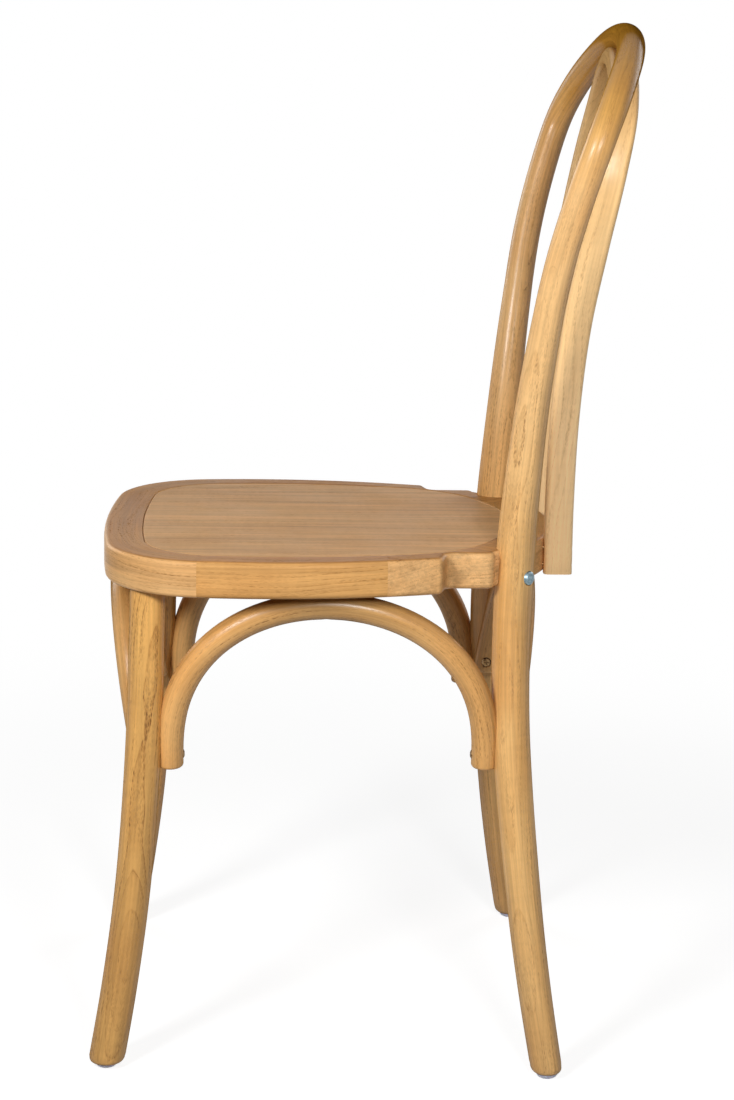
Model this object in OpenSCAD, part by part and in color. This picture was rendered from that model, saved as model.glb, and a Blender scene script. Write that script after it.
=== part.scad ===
// Stacking bentwood side chair: one bent rod makes the rear legs and the back hoop,
// a second, flatter hoop fills the back, and four bent arches brace the legs.
// Millimetres. The front of the chair is -Y, the floor is Z = 0, and the origin lies on
// the floor under the middle of the chair.

/* [Seat] */
// Width of the seat where it is widest
seat_w = 390; // [376:1:410]
// Depth of the seat from its front edge to its rear edge
seat_d = 403; // [396:1:412]
// Height of the seat's top above the floor
seat_h = 450; // [430:1:470]
// Thickness of the seat frame
frame_t = 32; // [28:1:36]
// Radius of the frame's rounded long edges
edge_r = 5; // [3:0.5:7]
// Width of the frame's top at the middle of the front
rail_front_w = 34; // [28:1:40]
// Width of the frame's top at the widest place
rail_side_w = 27; // [22:1:31]
// Width of the frame's top at the middle of the rear
rail_rear_w = 38; // [36:1:44]
// Radius of the seat's front corners in plan
corner_r = 92; // [70:1:110]
// How far the notch before each rear leg goes into the seat's side
notch_depth = 24; // [16:1:28]
// Distance from the seat's front edge to each notch
notch_back = 290; // [284:1:294]
// Thickness of the inset seat panel
panel_t = 9; // [6:1:12]
// Gap round the seat panel
panel_gap = 0.4; // [0.2:0.1:1]
// Width of the ledge that carries the seat panel
ledge_w = 10; // [7:1:12]

/* [Back hoop and rear legs] */
// Height of the whole chair
total_h = 895; // [870:1:920]
// Distance between the middles of the two rear feet
rear_foot_w = 424; // [390:1:440]
// Distance between the middles of the two rear legs at the seat
waist_w = 252; // [246:1:256]
// Distance between the middles of the hoop's two sides where the bow is widest
bow_w = 354; // [330:1:380]
// Height of the bow above the place where it is widest
bow_rise = 98; // [85:1:115]
// How far the rear feet stand behind the rear legs' middle at the seat
rear_foot_back = 33; // [15:1:50]
// How far the crown of the hoop leans behind the rear legs' middle at the seat
crown_back = 96; // [80:1:110]
// Diameter of the hoop's rod at the foot
hoop_foot_d = 27; // [24:0.5:30]
// Diameter of the hoop's rod at the seat
hoop_seat_d = 34; // [30:0.5:36]
// Diameter of the hoop's rod in the bow
hoop_bow_d = 24.5; // [22:0.5:28]

/* [Inner hoop] */
// Distance between the middles of the inner hoop's two feet
inner_foot_w = 152; // [142:1:160]
// Distance between the middles of the inner hoop's two sides where it is widest
inner_bow_w = 198; // [176:1:216]
// Thickness of the inner hoop's strip, across the back
strip_t = 16; // [13:0.5:18]
// Depth of the inner hoop's strip, from front to rear
strip_d = 25; // [20:0.5:28]

/* [Front legs] */
// Distance between the middles of the two front feet
front_foot_w = 380; // [350:1:400]
// Distance between the middles of the front legs under the seat
front_top_w = 294; // [286:1:304]
// Diameter of a front leg
front_leg_d = 31; // [28:0.5:34]
// How far the front feet stand before the legs' tops
front_foot_forward = 35; // [15:1:55]
// Diameter of the round tenon on each front leg
tenon_d = 20; // [16:1:24]
// Length of the tenon
tenon_l = 19; // [14:1:20]

/* [Arches] */
// Diameter of the arches' rod
arch_d = 23.5; // [18:0.5:24]
// Height of the lower ends of the side arches at the front legs
side_arch_foot_h = 260; // [245:1:285]
// Height of the lower ends of the side arches at the rear legs
side_arch_heel_h = 260; // [240:1:275]
// Height of the lower ends of the rear arch
cross_arch_foot_h = 277; // [272:1:300]
// How much lower the front arch's ends stand than the rear arch's
front_arch_drop = 10; // [0:1:14]
// How deep a leg is let into the end of an arch
cope_depth = 3.5; // [2:0.5:5]

/* [Glides and fasteners] */
// Height of a glide under the wood
glide_h = 4.5; // [3:0.5:6]
// Diameter of a glide
glide_d = 19; // [15:0.5:21]
// Diameter of a glide's nail
glide_nail_d = 2.6; // [2:0.1:3.2]
// Length of a glide's nail in the wood
glide_nail_l = 15; // [10:1:20]
// Diameter of the bolts that hold the rear legs
bolt_d = 6; // [5:0.5:7]
// Diameter of the bolts' domed heads
bolt_head_d = 12.5; // [11:0.5:14]
// Diameter of the wood screws' shanks
screw_d = 4; // [3:0.5:5]
// Diameter of the wood screws' heads
screw_head_d = 9; // [8:0.5:10]
// Diameter of the frame's dowels
dowel_d = 8; // [6:0.5:9]
// Length of the frame's dowels
dowel_l = 30; // [24:1:32]

/* [Hidden] */

// Clearances: between flush faces, in holes round pins, and between a bent rod and its pocket
touch = 0.1;
hole_gap = 0.1;
pocket_gap = 0.3;

honey = [0.80, 0.60, 0.36];
tan_wood = [0.76, 0.58, 0.40];
zinc = [0.62, 0.70, 0.75];
bronze = [0.55, 0.42, 0.22];
clear_white = [0.85, 0.85, 0.90];

// Plain vector helpers
function unit(v) = v / norm(v);
function mix(a, b, t) = a + (b - a) * t;
function flip_x(p) = len(p) == 3 ? [-p[0], p[1], p[2]] : [-p[0], p[1]];
function reversed(list) = [for (i = [len(list) - 1:-1:0]) list[i]];
function tail(list) = [for (i = [1:1:len(list) - 1]) list[i]];
function on_circle(c, r, angle) = c + r * [cos(angle), sin(angle)];
function arc(c, r, from, to, n) = [for (i = [0:n]) on_circle(c, r, from + (to - from) * i / n)];
function angle_of(v) = atan2(v[1], v[0]);

// Where two circles cross, on the left of the way from the first middle to the second
function circles_meet(c1, r1, c2, r2) =
    let (d = norm(c2 - c1), along = (d * d + r1 * r1 - r2 * r2) / (2 * d),
        off = sqrt(r1 * r1 - along * along), u = (c2 - c1) / d)
    c1 + u * along + [-u[1], u[0]] * off;

// How far a straight line from p along u runs before it enters a circle
function way_to_circle(p, u, c, r) =
    let (q = p - c, b = q * u)
    -b - sqrt(b * b - q * q + r * r);

// A smooth curve through points, each stretch in n steps, by Catmull and Rom's rule
function knot(a, b) = max(sqrt(norm(b - a)), 0.001);
function blend(a, b, ta, tb, t) = a * (tb - t) / (tb - ta) + b * (t - ta) / (tb - ta);
function stretch_at(p, s) =
    let (t1 = knot(p[0], p[1]), t2 = t1 + knot(p[1], p[2]), t3 = t2 + knot(p[2], p[3]),
        t = mix(t1, t2, s),
        a1 = blend(p[0], p[1], 0, t1, t), a2 = blend(p[1], p[2], t1, t2, t), a3 = blend(p[2], p[3], t2, t3, t),
        b1 = blend(a1, a2, 0, t2, t), b2 = blend(a2, a3, t1, t3, t))
    blend(b1, b2, t1, t2, t);
function curve(p, n) =
    let (last = len(p) - 1,
        q = concat([2 * p[0] - p[1]], p, [2 * p[last] - p[last - 1]]))
    concat([for (i = [0:last - 1], k = [0:n - 1]) stretch_at([q[i], q[i + 1], q[i + 2], q[i + 3]], k / n)],
        [p[last]]);

// Rings of a profile along a path; the profile's first axis lies in the path's plane
function heading(path, i) = unit(path[min(i + 1, len(path) - 1)] - path[max(i - 1, 0)]);
function ring(c, t, side, profile) =
    let (n1 = unit(cross(side, t)), n2 = cross(t, n1))
    [for (p = profile) c + n1 * p[0] + n2 * p[1]];
function round_profile(r, n) = [for (i = [0:n - 1]) r * [cos(360 * i / n), sin(360 * i / n)]];

// A solid skin over rings that all have the same number of points
module skin(rings) {
    n = len(rings[0]);
    last = len(rings) - 1;
    polyhedron(
        points = [for (r = rings, p = r) p],
        faces = concat(
            [[for (j = [0:n - 1]) j]],
            [for (i = [0:last - 1], j = [0:n - 1]) [i * n + j, (i + 1) * n + j, (i + 1) * n + (j + 1) % n]],
            [for (i = [0:last - 1], j = [0:n - 1]) [i * n + j, (i + 1) * n + (j + 1) % n, i * n + (j + 1) % n]],
            [[for (j = [n - 1:-1:0]) last * n + j]]),
        convexity = 6);
}

// Turns a thing that stands on +Z so that it points along v from p
module aim(p, v) {
    translate(p)
        rotate([0, acos(v[2] / norm(v)), atan2(v[1], v[0])])
            children();
}

module rod(a, b, r) {
    aim(a, b - a)
        cylinder(h = norm(b - a), r = r, $fn = 48);
}

module both_sides() {
    children();
    mirror([1, 0, 0])
        children();
}

// Seat outline. The outer edge is arcs that run into each other: front, corner, side,
// then the notch, the flank, the slanted seat of the rear leg, and the rear arc.
front_y = -156;
rear_y = front_y + seat_d;
half_w = seat_w / 2;
front_r = 1100;
side_r = 480;
rear_r = 215;
widest_y = -15;
frame_base = seat_h - frame_t;

function front_middle(y, r) = [0, y + r];
function side_middle(w, y, r) = [w - r, y];
function front_corner_middle(y, rf, w, wy, rs, rc) =
    circles_meet(front_middle(y, rf), rf - rc, side_middle(w, wy, rs), rs - rc);

outer_side_c = side_middle(half_w, widest_y, side_r);
outer_corner_c = front_corner_middle(front_y, front_r, half_w, widest_y, side_r, corner_r);
outer_front_end = angle_of(outer_corner_c - front_middle(front_y, front_r));
outer_side_start = angle_of(outer_corner_c - outer_side_c);
side_joint_y = 92;
notch_y = front_y + notch_back;
outer_side_joint = asin((side_joint_y - widest_y) / side_r);
outer_side_end = asin((notch_y - widest_y) / side_r);

// Notch: a small outside round, a short slope and a cove, down to the flank
notch_turn = 76;
notch_r = 6;
cove_r = 9;
notch_start = on_circle(outer_side_c, side_r, outer_side_end);
flank_x = notch_start[0] - notch_depth;
notch_slope = (notch_depth - (notch_r + cove_r) * (1 - cos(notch_turn))) / sin(notch_turn);
notch_arc = arc(notch_start - [notch_r, 0], notch_r, 0, notch_turn, 4);
slope_end = notch_arc[4] + notch_slope * [-sin(notch_turn), cos(notch_turn)];
cove_arc = arc(slope_end + cove_r * [cos(notch_turn), sin(notch_turn)], cove_r, 180 + notch_turn, 180, 5);
notch_pts = concat(tail(notch_arc), cove_arc);

// Rear legs stand in the slanted seat behind the flank
leg_y = rear_y - 43;
leg_r = hoop_seat_d / 2;
leg_at_seat = [waist_w / 2, leg_y];
flank_corner_r = 8;
flank_end_y = leg_y - leg_r - 9;
flank_corner = arc([flank_x - flank_corner_r, flank_end_y], flank_corner_r, 0, 90, 4);
slant_start = [leg_at_seat[0] + leg_r - 4, flank_end_y + flank_corner_r];
rear_joint_x = leg_at_seat[0] - leg_r - 6;
rear_c = [0, rear_y - rear_r];
rear_joint = on_circle(rear_c, rear_r, acos(rear_joint_x / rear_r));
slant_pts = [slant_start, mix(slant_start, rear_joint, 0.5), rear_joint];

outer_front = arc(front_middle(front_y, front_r), front_r, -90, outer_front_end, 4);
outer_corner = arc(outer_corner_c, corner_r, outer_front_end, outer_side_start, 9);
outer_side = arc(outer_side_c, side_r, outer_side_start, outer_side_joint, 6);
outer_block = concat(arc(outer_side_c, side_r, outer_side_joint, outer_side_end, 2),
    notch_pts, flank_corner, slant_pts);
outer_rear = arc(rear_c, rear_r, angle_of(rear_joint - rear_c), 90, 6);

// The inner edge of the frame's top has no notch
inner_front_y = front_y + rail_front_w;
inner_w = half_w - rail_side_w;
inner_corner_r = corner_r - 24;
inner_widest_y = widest_y + 10;
inner_rear_r = 200;
inner_turn_r = 100;
inner_side_c = side_middle(inner_w, inner_widest_y, side_r);
inner_corner_c = front_corner_middle(inner_front_y, front_r, inner_w, inner_widest_y, side_r, inner_corner_r);
inner_front_end = angle_of(inner_corner_c - front_middle(inner_front_y, front_r));
inner_side_start = angle_of(inner_corner_c - inner_side_c);
inner_rear_c = [0, rear_y - rail_rear_w - inner_rear_r];
inner_turn_c = circles_meet(inner_side_c, side_r - inner_turn_r, inner_rear_c, inner_rear_r - inner_turn_r);
inner_side_end = angle_of(inner_turn_c - inner_side_c);
inner_rear_start = angle_of(inner_turn_c - inner_rear_c);
inner_side_joint = asin((side_joint_y - inner_widest_y) / side_r);
inner_rear_joint = acos((rear_joint_x - 26) / inner_rear_r);

inner_front = arc(front_middle(inner_front_y, front_r), front_r, -90, inner_front_end, 4);
inner_corner = arc(inner_corner_c, inner_corner_r, inner_front_end, inner_side_start, 9);
inner_side = arc(inner_side_c, side_r, inner_side_start, inner_side_joint, 6);
inner_turn_path = concat(arc(inner_side_c, side_r, inner_side_joint, inner_side_end, 2),
    tail(arc(inner_turn_c, inner_turn_r, inner_side_end, inner_rear_start, 18)),
    tail(arc(inner_rear_c, inner_rear_r, inner_rear_start, inner_rear_joint, 6)));
inner_rear = arc(inner_rear_c, inner_rear_r, inner_rear_joint, 90, 6);

// Lengths along a path of points, and the point at a share of its whole length
function lengths(p, i = 0, sum = 0) =
    i == len(p) - 1 ? [sum] : concat([sum], lengths(p, i + 1, sum + norm(p[i + 1] - p[i])));
function at_length(p, l, s) =
    [lookup(s, [for (i = [0:len(p) - 1]) [l[i], p[i][0]]]), lookup(s, [for (i = [0:len(p) - 1]) [l[i], p[i][1]]])];
outer_block_l = lengths(outer_block);
inner_turn_l = lengths(inner_turn_path);
inner_block = [for (l = outer_block_l)
    at_length(inner_turn_path, inner_turn_l, l / outer_block_l[len(outer_block_l) - 1] * inner_turn_l[len(inner_turn_l) - 1])];

// Section of a frame rail: points given from the outer edge (0) or from the inner edge (1),
// each with its distance inwards and its height over the frame's underside
soft = edge_r * (1 - cos(45));
small_edge = 1.2;
ledge_h = frame_t - panel_t;
rail_section = [
    [1, -small_edge, frame_t],
    [0, edge_r, frame_t],
    [0, soft, frame_t - soft],
    [0, 0, frame_t - edge_r],
    [0, 0, edge_r],
    [0, soft, soft],
    [0, edge_r, 0],
    [1, ledge_w - small_edge, 0],
    [1, ledge_w, small_edge],
    [1, ledge_w, ledge_h],
    [1, 0, ledge_h],
    [1, 0, frame_t - small_edge]];
function station(outer, inner) =
    let (u = unit(inner - outer))
    [for (s = rail_section)
        let (p = (s[0] == 0 ? outer : inner) + u * s[1])
        [p[0], p[1], frame_base + s[2]]];
function stations(outer, inner) = [for (i = [0:len(outer) - 1]) station(outer[i], inner[i])];
function mirrored(points) = reversed([for (p = points) flip_x(p)]);

front_outer = concat(outer_front, tail(outer_corner));
front_inner = concat(inner_front, tail(inner_corner));
front_stations = stations(concat(mirrored(front_outer), tail(front_outer)),
    concat(mirrored(front_inner), tail(front_inner)));
rear_stations = stations(concat(outer_rear, tail(mirrored(outer_rear))),
    concat(inner_rear, tail(mirrored(inner_rear))));

// Hoop and rear legs: the middle line of the rod, right half from the foot to the crown
hoop_rod_r = hoop_bow_d / 2;
crown_z = total_h - hoop_rod_r;
bow_z = crown_z - bow_rise;
waist_x = waist_w / 2;
bow_x = bow_w / 2;
foot_spread = rear_foot_w / 2 - waist_x;
bow_spread = bow_x - waist_x;
above_seat = bow_z - seat_h;
function lean(t) = leg_y + crown_back * t;
hoop_half = [
    [waist_x + foot_spread, leg_y + rear_foot_back, 0],
    [waist_x + foot_spread * 0.79, leg_y + rear_foot_back * 0.63, seat_h * 0.167],
    [waist_x + foot_spread * 0.58, leg_y + rear_foot_back * 0.34, seat_h * 0.333],
    [waist_x + foot_spread * 0.22, leg_y - 1.5, seat_h * 0.667],
    [waist_x, leg_y, seat_h * 0.96],
    [waist_x + bow_spread * 0.02, lean(0.08), seat_h + above_seat * 0.27],
    [waist_x + bow_spread * 0.26, lean(0.165), seat_h + above_seat * 0.5],
    [waist_x + bow_spread * 0.66, lean(0.29), seat_h + above_seat * 0.74],
    [waist_x + bow_spread * 0.93, lean(0.445), seat_h + above_seat * 0.92],
    [bow_x, lean(0.6), bow_z + bow_rise * 0.2],
    [bow_x * 0.875, lean(0.745), bow_z + bow_rise * 0.53],
    [bow_x * 0.52, lean(0.93), bow_z + bow_rise * 0.875],
    [0, lean(1), crown_z]];
hoop_steps = 4;
hoop_full = concat(hoop_half, tail(mirrored(hoop_half)));
hoop_path = curve(hoop_full, hoop_steps);
hoop_rise = [for (i = [0:(len(hoop_half) - 1) * hoop_steps]) hoop_path[i]];
hoop_radius_table = [
    [0, hoop_foot_d / 2],
    [seat_h * 0.55, hoop_seat_d / 2 - 0.9],
    [seat_h, hoop_seat_d / 2],
    [seat_h + above_seat * 0.6, hoop_rod_r + 0.8],
    [bow_z, hoop_rod_r],
    [total_h, hoop_rod_r]];
function hoop_r(z) = lookup(z, hoop_radius_table);
function hoop_at(z) =
    [lookup(z, [for (p = hoop_rise) [p[2], p[0]]]), lookup(z, [for (p = hoop_rise) [p[2], p[1]]]), z];

// The leg's end is level, with its edge taken off
foot_chamfer = 4.5;
function foot_ring(p, r, z, n) = [for (q = round_profile(r, n)) [p[0] + q[0], p[1] + q[1], z]];
function round_rings(path, n) =
    [for (i = [0:len(path) - 1]) ring(path[i], heading(path, i), [0, 1, 0], round_profile(hoop_r(path[i][2]), n))];
hoop_sides = 20;
hoop_mid = [for (i = [1:len(hoop_path) - 2]) hoop_path[i]];
function level_foot(low, high, r) = [
    foot_ring(low, r - foot_chamfer, low[2], hoop_sides),
    foot_ring(high, r, high[2], hoop_sides)];
hoop_foot = level_foot(hoop_at(glide_h), hoop_at(glide_h + foot_chamfer), hoop_foot_d / 2);
hoop_foot_right = [for (r = hoop_foot) [for (i = [0:hoop_sides - 1]) flip_x(r[(hoop_sides - i) % hoop_sides])]];

// Front legs: a sabre curve from the foot to the shoulder under the frame
front_top_y = front_y + 44;
front_leg_r = front_leg_d / 2;
front_x = front_top_w / 2;
front_spread = (front_foot_w - front_top_w) / 2;
front_leg_pts = [
    [front_x + front_spread, front_top_y - front_foot_forward, 0],
    [front_x + front_spread * 0.72, front_top_y - front_foot_forward * 0.66, frame_base * 0.17],
    [front_x + front_spread * 0.45, front_top_y - front_foot_forward * 0.34, frame_base * 0.38],
    [front_x + front_spread * 0.2, front_top_y - front_foot_forward * 0.1, frame_base * 0.67],
    [front_x, front_top_y, frame_base]];
front_leg_path = curve(front_leg_pts, 5);
function front_leg_at(z) =
    [lookup(z, [for (p = front_leg_path) [p[2], p[0]]]), lookup(z, [for (p = front_leg_path) [p[2], p[1]]]), z];

// Inner hoop: feet on the rear rail's back, crown under the outer hoop's crown
inner_seat_y = rear_y - 13.5;
inner_y = inner_seat_y + strip_d / 2;
crown_lean = 18;
crown_drop = hoop_rod_r + strip_t / 2 + touch;
inner_crown = [0, lean(1) - crown_drop * sin(crown_lean), crown_z - crown_drop * cos(crown_lean)];
inner_foot_x = inner_foot_w / 2;
inner_x = inner_bow_w / 2;
inner_bow_z = inner_crown[2] - inner_x;
inner_back = inner_crown[1] - inner_y;
inner_above = inner_bow_z - frame_base;
inner_half = [
    [inner_foot_x, inner_y, frame_base],
    [inner_foot_x, inner_y, frame_base + inner_above * 0.18],
    [mix(inner_foot_x, inner_x, 0.13), inner_y + inner_back * 0.05, frame_base + inner_above * 0.41],
    [mix(inner_foot_x, inner_x, 0.44), inner_y + inner_back * 0.2, frame_base + inner_above * 0.64],
    [mix(inner_foot_x, inner_x, 0.8), inner_y + inner_back * 0.44, frame_base + inner_above * 0.83],
    [inner_x, inner_y + inner_back * 0.72, inner_bow_z + inner_x * 0.08],
    [inner_x * 0.87, inner_y + inner_back * 0.9, inner_bow_z + inner_x * 0.52],
    [inner_x * 0.5, inner_y + inner_back * 0.985, inner_bow_z + inner_x * 0.872],
    inner_crown];
inner_path = curve(concat(inner_half, tail(mirrored(inner_half))), 4);
function strip_tilt(z) = crown_lean * max(0, z - inner_bow_z + inner_x) / (2 * inner_x);
strip_edge_r = 4.5;
function strip_corner(sx, sy, from) =
    arc([sx * (strip_t / 2 - strip_edge_r), sy * (strip_d / 2 - strip_edge_r)], strip_edge_r, from, from + 90, 3);
strip_profile = concat(strip_corner(1, 1, 0), strip_corner(-1, 1, 90), strip_corner(-1, -1, 180),
    strip_corner(1, -1, 270));
function strip_ring(i) =
    let (a = strip_tilt(inner_path[i][2]))
    ring(inner_path[i], heading(inner_path, i), [0, cos(a), -sin(a)], strip_profile);

// Arches: half ellipses of round rod, straight at the ends, leaning out under the frame
arch_r = arch_d / 2;
arch_top_z = frame_base - arch_r - touch;
arch_sides = 14;
arch_turns = 26;
arch_end_round = 3;
side_arch_start = front_leg_at(side_arch_foot_h);
side_arch_end = hoop_at(side_arch_heel_h);
side_arch_y1 = side_arch_start[1] + front_leg_r + arch_r - cope_depth;
side_arch_y2 = side_arch_end[1] - hoop_r(side_arch_heel_h) - arch_r + cope_depth;
side_arch_mid = (side_arch_y1 + side_arch_y2) / 2;
side_arch_half = (side_arch_y2 - side_arch_y1) / 2;
arch_spring = 13;
side_spring_h = side_arch_foot_h + arch_spring;
side_arch_lean = 0.095;
side_arch_inset = 7;
// Under 1 the shoulders are fuller than an ellipse's
side_arch_fullness = 0.86;
// How far the highest point stands before the middle between the legs
side_arch_ahead = 3;
function side_arch_x(y, z) =
    let (t = (y - side_arch_start[1]) / (side_arch_end[1] - side_arch_start[1]))
    mix(side_arch_start[0], side_arch_end[0], t) - side_arch_inset + side_arch_lean * (z - side_arch_heel_h);
function side_arch_point(y, z) = [side_arch_x(y, z), y, z];
side_arch_path = concat(
    [side_arch_point(side_arch_y1, side_arch_foot_h), side_arch_point(side_arch_y1, side_arch_foot_h + arch_end_round)],
    [for (i = [0:arch_turns])
        let (a = 180 * i / arch_turns)
        side_arch_point(side_arch_mid - side_arch_half * cos(a) - side_arch_ahead * pow(sin(a), 2),
            side_spring_h + (arch_top_z - side_spring_h) * pow(sin(a), side_arch_fullness))],
    [side_arch_point(side_arch_y2, side_arch_heel_h + arch_end_round), side_arch_point(side_arch_y2, side_arch_heel_h)]);

// An arch across the chair between two legs, leaning by slope towards +Y
function cross_arch_path(w, y, slope, foot_h) =
    let (spring = foot_h + arch_spring)
    concat(
        [[w, y, foot_h], [w, y + slope * arch_end_round, foot_h + arch_end_round]],
        [for (i = [0:arch_turns])
            let (a = 180 * i / arch_turns, z = spring + (arch_top_z - spring) * sin(a))
            [w * cos(a), y + slope * (z - foot_h), z]],
        [[-w, y + slope * arch_end_round, foot_h + arch_end_round], [-w, y, foot_h]]);
front_arch_foot_h = cross_arch_foot_h - front_arch_drop;
front_arch_leg = front_leg_at(front_arch_foot_h);
front_arch_w = front_arch_leg[0] - front_leg_r - arch_r + cope_depth;
front_arch_slope = -0.165;
front_arch_path = cross_arch_path(front_arch_w, front_arch_leg[1], front_arch_slope, front_arch_foot_h);
rear_arch_leg = hoop_at(cross_arch_foot_h);
rear_arch_w = rear_arch_leg[0] - hoop_r(cross_arch_foot_h) - arch_r + cope_depth;
rear_arch_slope = 0.15;
rear_arch_ahead = 4;
rear_arch_path = cross_arch_path(rear_arch_w, rear_arch_leg[1] - rear_arch_ahead, rear_arch_slope, cross_arch_foot_h);

function arch_rings(path, side) =
    let (last = len(path) - 1)
    [for (i = [0:last])
        let (r = i == 0 || i == last ? arch_r - arch_end_round : arch_r,
            t = i < 2 ? [0, 0, 1] : i > last - 2 ? [0, 0, -1] : heading(path, i))
        ring(path[i], t, side, round_profile(r, arch_sides))];

// Screws: where each one's head sits and which way its shank runs
screw_head_h = 3;
arch_screw_l = 32;
top_screw_l = 36;
end_screw_up = 11;
head_sink = 2;
hidden_head_sink = 3.4;
function end_screw(p, out) = [p + [0, 0, end_screw_up] - out * (arch_r - head_sink), out];
arch_end_screw_places = [
    end_screw(side_arch_path[0], [0, -1, 0]),
    end_screw(side_arch_path[len(side_arch_path) - 1], [0, 1, 0]),
    end_screw(front_arch_path[0], [1, 0, 0]),
    end_screw(rear_arch_path[0], [1, 0, 0])];
function top_screw(p) = [p - [0, 0, arch_r - hidden_head_sink], [0, 0, 1]];
side_arch_top = side_arch_point(side_arch_mid, arch_top_z);
cross_top_screws = [
    top_screw(front_arch_path[2 + arch_turns / 2]),
    top_screw(rear_arch_path[2 + arch_turns / 2])];
side_top_screw = top_screw(side_arch_top);

inner_screw_l = 34;
inner_screw_low = 8;
inner_screw_under_top = 9;
inner_screw_places = [for (h = [inner_screw_low, frame_t - inner_screw_under_top])
    [[inner_foot_x, inner_y + strip_d / 2 - hidden_head_sink, frame_base + h], [0, -1, 0]]];
crown_screw_l = 26;
crown_axis = [0, sin(crown_lean), cos(crown_lean)];
crown_screw_place = [inner_crown - crown_axis * (strip_t / 2 - hidden_head_sink), crown_axis];

panel_screw_l = 22;
panel_screw_sink = 6;
panel_screw_points = [
    on_circle(inner_corner_c, inner_corner_r - ledge_w / 2, -45),
    on_circle(inner_side_c, side_r - ledge_w / 2, inner_side_joint - 4),
    on_circle(inner_rear_c, inner_rear_r - ledge_w / 2, 80)];
panel_screw_places = [for (p = panel_screw_points) [[p[0], p[1], frame_base + panel_screw_sink], [0, 0, 1]]];

// Bolt through the rear leg into the frame's corner, square to the slant
bolt_h = frame_base + 8.5;
bolt_u = [cos(45), sin(45)];
bolt_leg = hoop_at(bolt_h);
bolt_leg_xy = [bolt_leg[0], bolt_leg[1]];
bolt_seat = leg_r - 0.8;
washer_t = 1.6;
washer_d = 12;
nut_t = 5;
nut_d = 11.5;
nut_seat = way_to_circle(bolt_leg_xy, -bolt_u, inner_turn_c, inner_turn_r - ledge_w) - 2.2;
bolt_end = nut_seat + washer_t + nut_t + 2;
function bolt_point(s) = [bolt_leg_xy[0] + bolt_u[0] * s, bolt_leg_xy[1] + bolt_u[1] * s, bolt_h];
bolt_out = [bolt_u[0], bolt_u[1], 0];

// Dowels: two across each joint of the frame, square to the joint's face
dowel_h = frame_base + ledge_h / 2;
function joint_dowels(outer, inner, shares) =
    let (u = unit(inner - outer), across = [-u[1], u[0]], w = norm(inner - outer) + ledge_w)
    [for (t = shares) [outer + u * w * t, across]];
side_joint = joint_dowels(outer_side[0], inner_side[0], [0.32, 0.68]);
block_joint = joint_dowels(outer_block[0], inner_block[0], [0.32, 0.68]);
rear_rail_joint = joint_dowels(outer_rear[0], inner_rear[0], [0.44, 0.72]);
dowels = concat(side_joint, block_joint, rear_rail_joint);

// The whole chair is moved so that the origin is under the middle of its box
front_reach = min(front_leg_at(glide_h + foot_chamfer)[1] - front_leg_r, front_y);
rear_reach = lean(1) + hoop_rod_r;
middle_y = (front_reach + rear_reach) / 2;
module place() {
    translate([0, -middle_y, 0])
        children();
}

// A wood screw: pan head with a cross, and a pointed shank
module screw(place_and_way, l) {
    aim(place_and_way[0], place_and_way[1])
        difference() {
            rotate_extrude($fn = 24)
                polygon([[0, -screw_head_h], [screw_head_d * 0.24, -screw_head_h], [screw_head_d * 0.42, -screw_head_h * 0.72],
                    [screw_head_d / 2, -screw_head_h * 0.25], [screw_head_d / 2, 0], [screw_d / 2, 0],
                    [screw_d / 2, l - screw_d], [0, l]]);
            for (a = [0, 90])
                rotate([0, 0, a])
                    translate([-screw_head_d * 0.27, -0.5, -screw_head_h - 1])
                        cube([screw_head_d * 0.54, 1, 2.6]);
        }
}

// The hole for a screw, with a flat-bottomed bore for its head
module screw_hole(place_and_way, l) {
    aim(place_and_way[0], place_and_way[1]) {
        translate([0, 0, -0.5])
            cylinder(h = l + 1, d = screw_d + 2 * hole_gap, $fn = 24);
        translate([0, 0, -arch_r])
            cylinder(h = arch_r, d = screw_head_d + 1, $fn = 24);
    }
}

module glide_hole(p) {
    translate([p[0], p[1], glide_h - 1])
        cylinder(h = glide_nail_l + 1.5, d = glide_nail_d + 2 * hole_gap, $fn = 24);
}

module dowel_holes(list) {
    for (d = list)
        aim([d[0][0], d[0][1], dowel_h] - [d[1][0], d[1][1], 0] * (dowel_l / 2 + 0.5), [d[1][0], d[1][1], 0])
            cylinder(h = dowel_l + 1, d = dowel_d + 2 * hole_gap, $fn = 32);
}

// Cuts the seat of a curved leg between two heights
module leg_seat(path, radii) {
    skin([for (i = [0:len(path) - 1])
        ring(path[i], heading(path, i), [0, 1, 0], round_profile(radii[i] + pocket_gap, hoop_sides))]);
}

module hoop_seat(from, to, steps) {
    heights = [for (i = [0:steps]) from + (to - from) * i / steps];
    leg_seat([for (z = heights) hoop_at(z)], [for (z = heights) hoop_r(z)]);
}

module front_leg_seat(from, to, steps) {
    heights = [for (i = [0:steps]) from + (to - from) * i / steps];
    leg_seat([for (z = heights) front_leg_at(z)], [for (z = heights) front_leg_r]);
}

module bolt_hole() {
    rod(bolt_point(leg_r + 8), bolt_point(-bolt_end - 1), bolt_d / 2 + hole_gap);
    rod(bolt_point(-nut_seat), bolt_point(-nut_seat - 14), washer_d / 2 + 0.3);
}

module back_hoop() {
    color(honey)
        place()
            difference() {
                skin(concat(hoop_foot, round_rings(hoop_mid, hoop_sides), reversed(hoop_foot_right)));
                both_sides() {
                    rod(bolt_point(leg_r + 8), bolt_point(-leg_r - 8), bolt_d / 2 + hole_gap);
                    rod(bolt_point(bolt_seat), bolt_point(bolt_seat + 8), bolt_head_d / 2 + 0.4);
                    screw_hole(arch_end_screw_places[1], arch_screw_l);
                    screw_hole(arch_end_screw_places[3], arch_screw_l);
                    glide_hole(hoop_at(glide_h));
                }
                screw_hole(crown_screw_place, crown_screw_l);
            }
}

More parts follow.
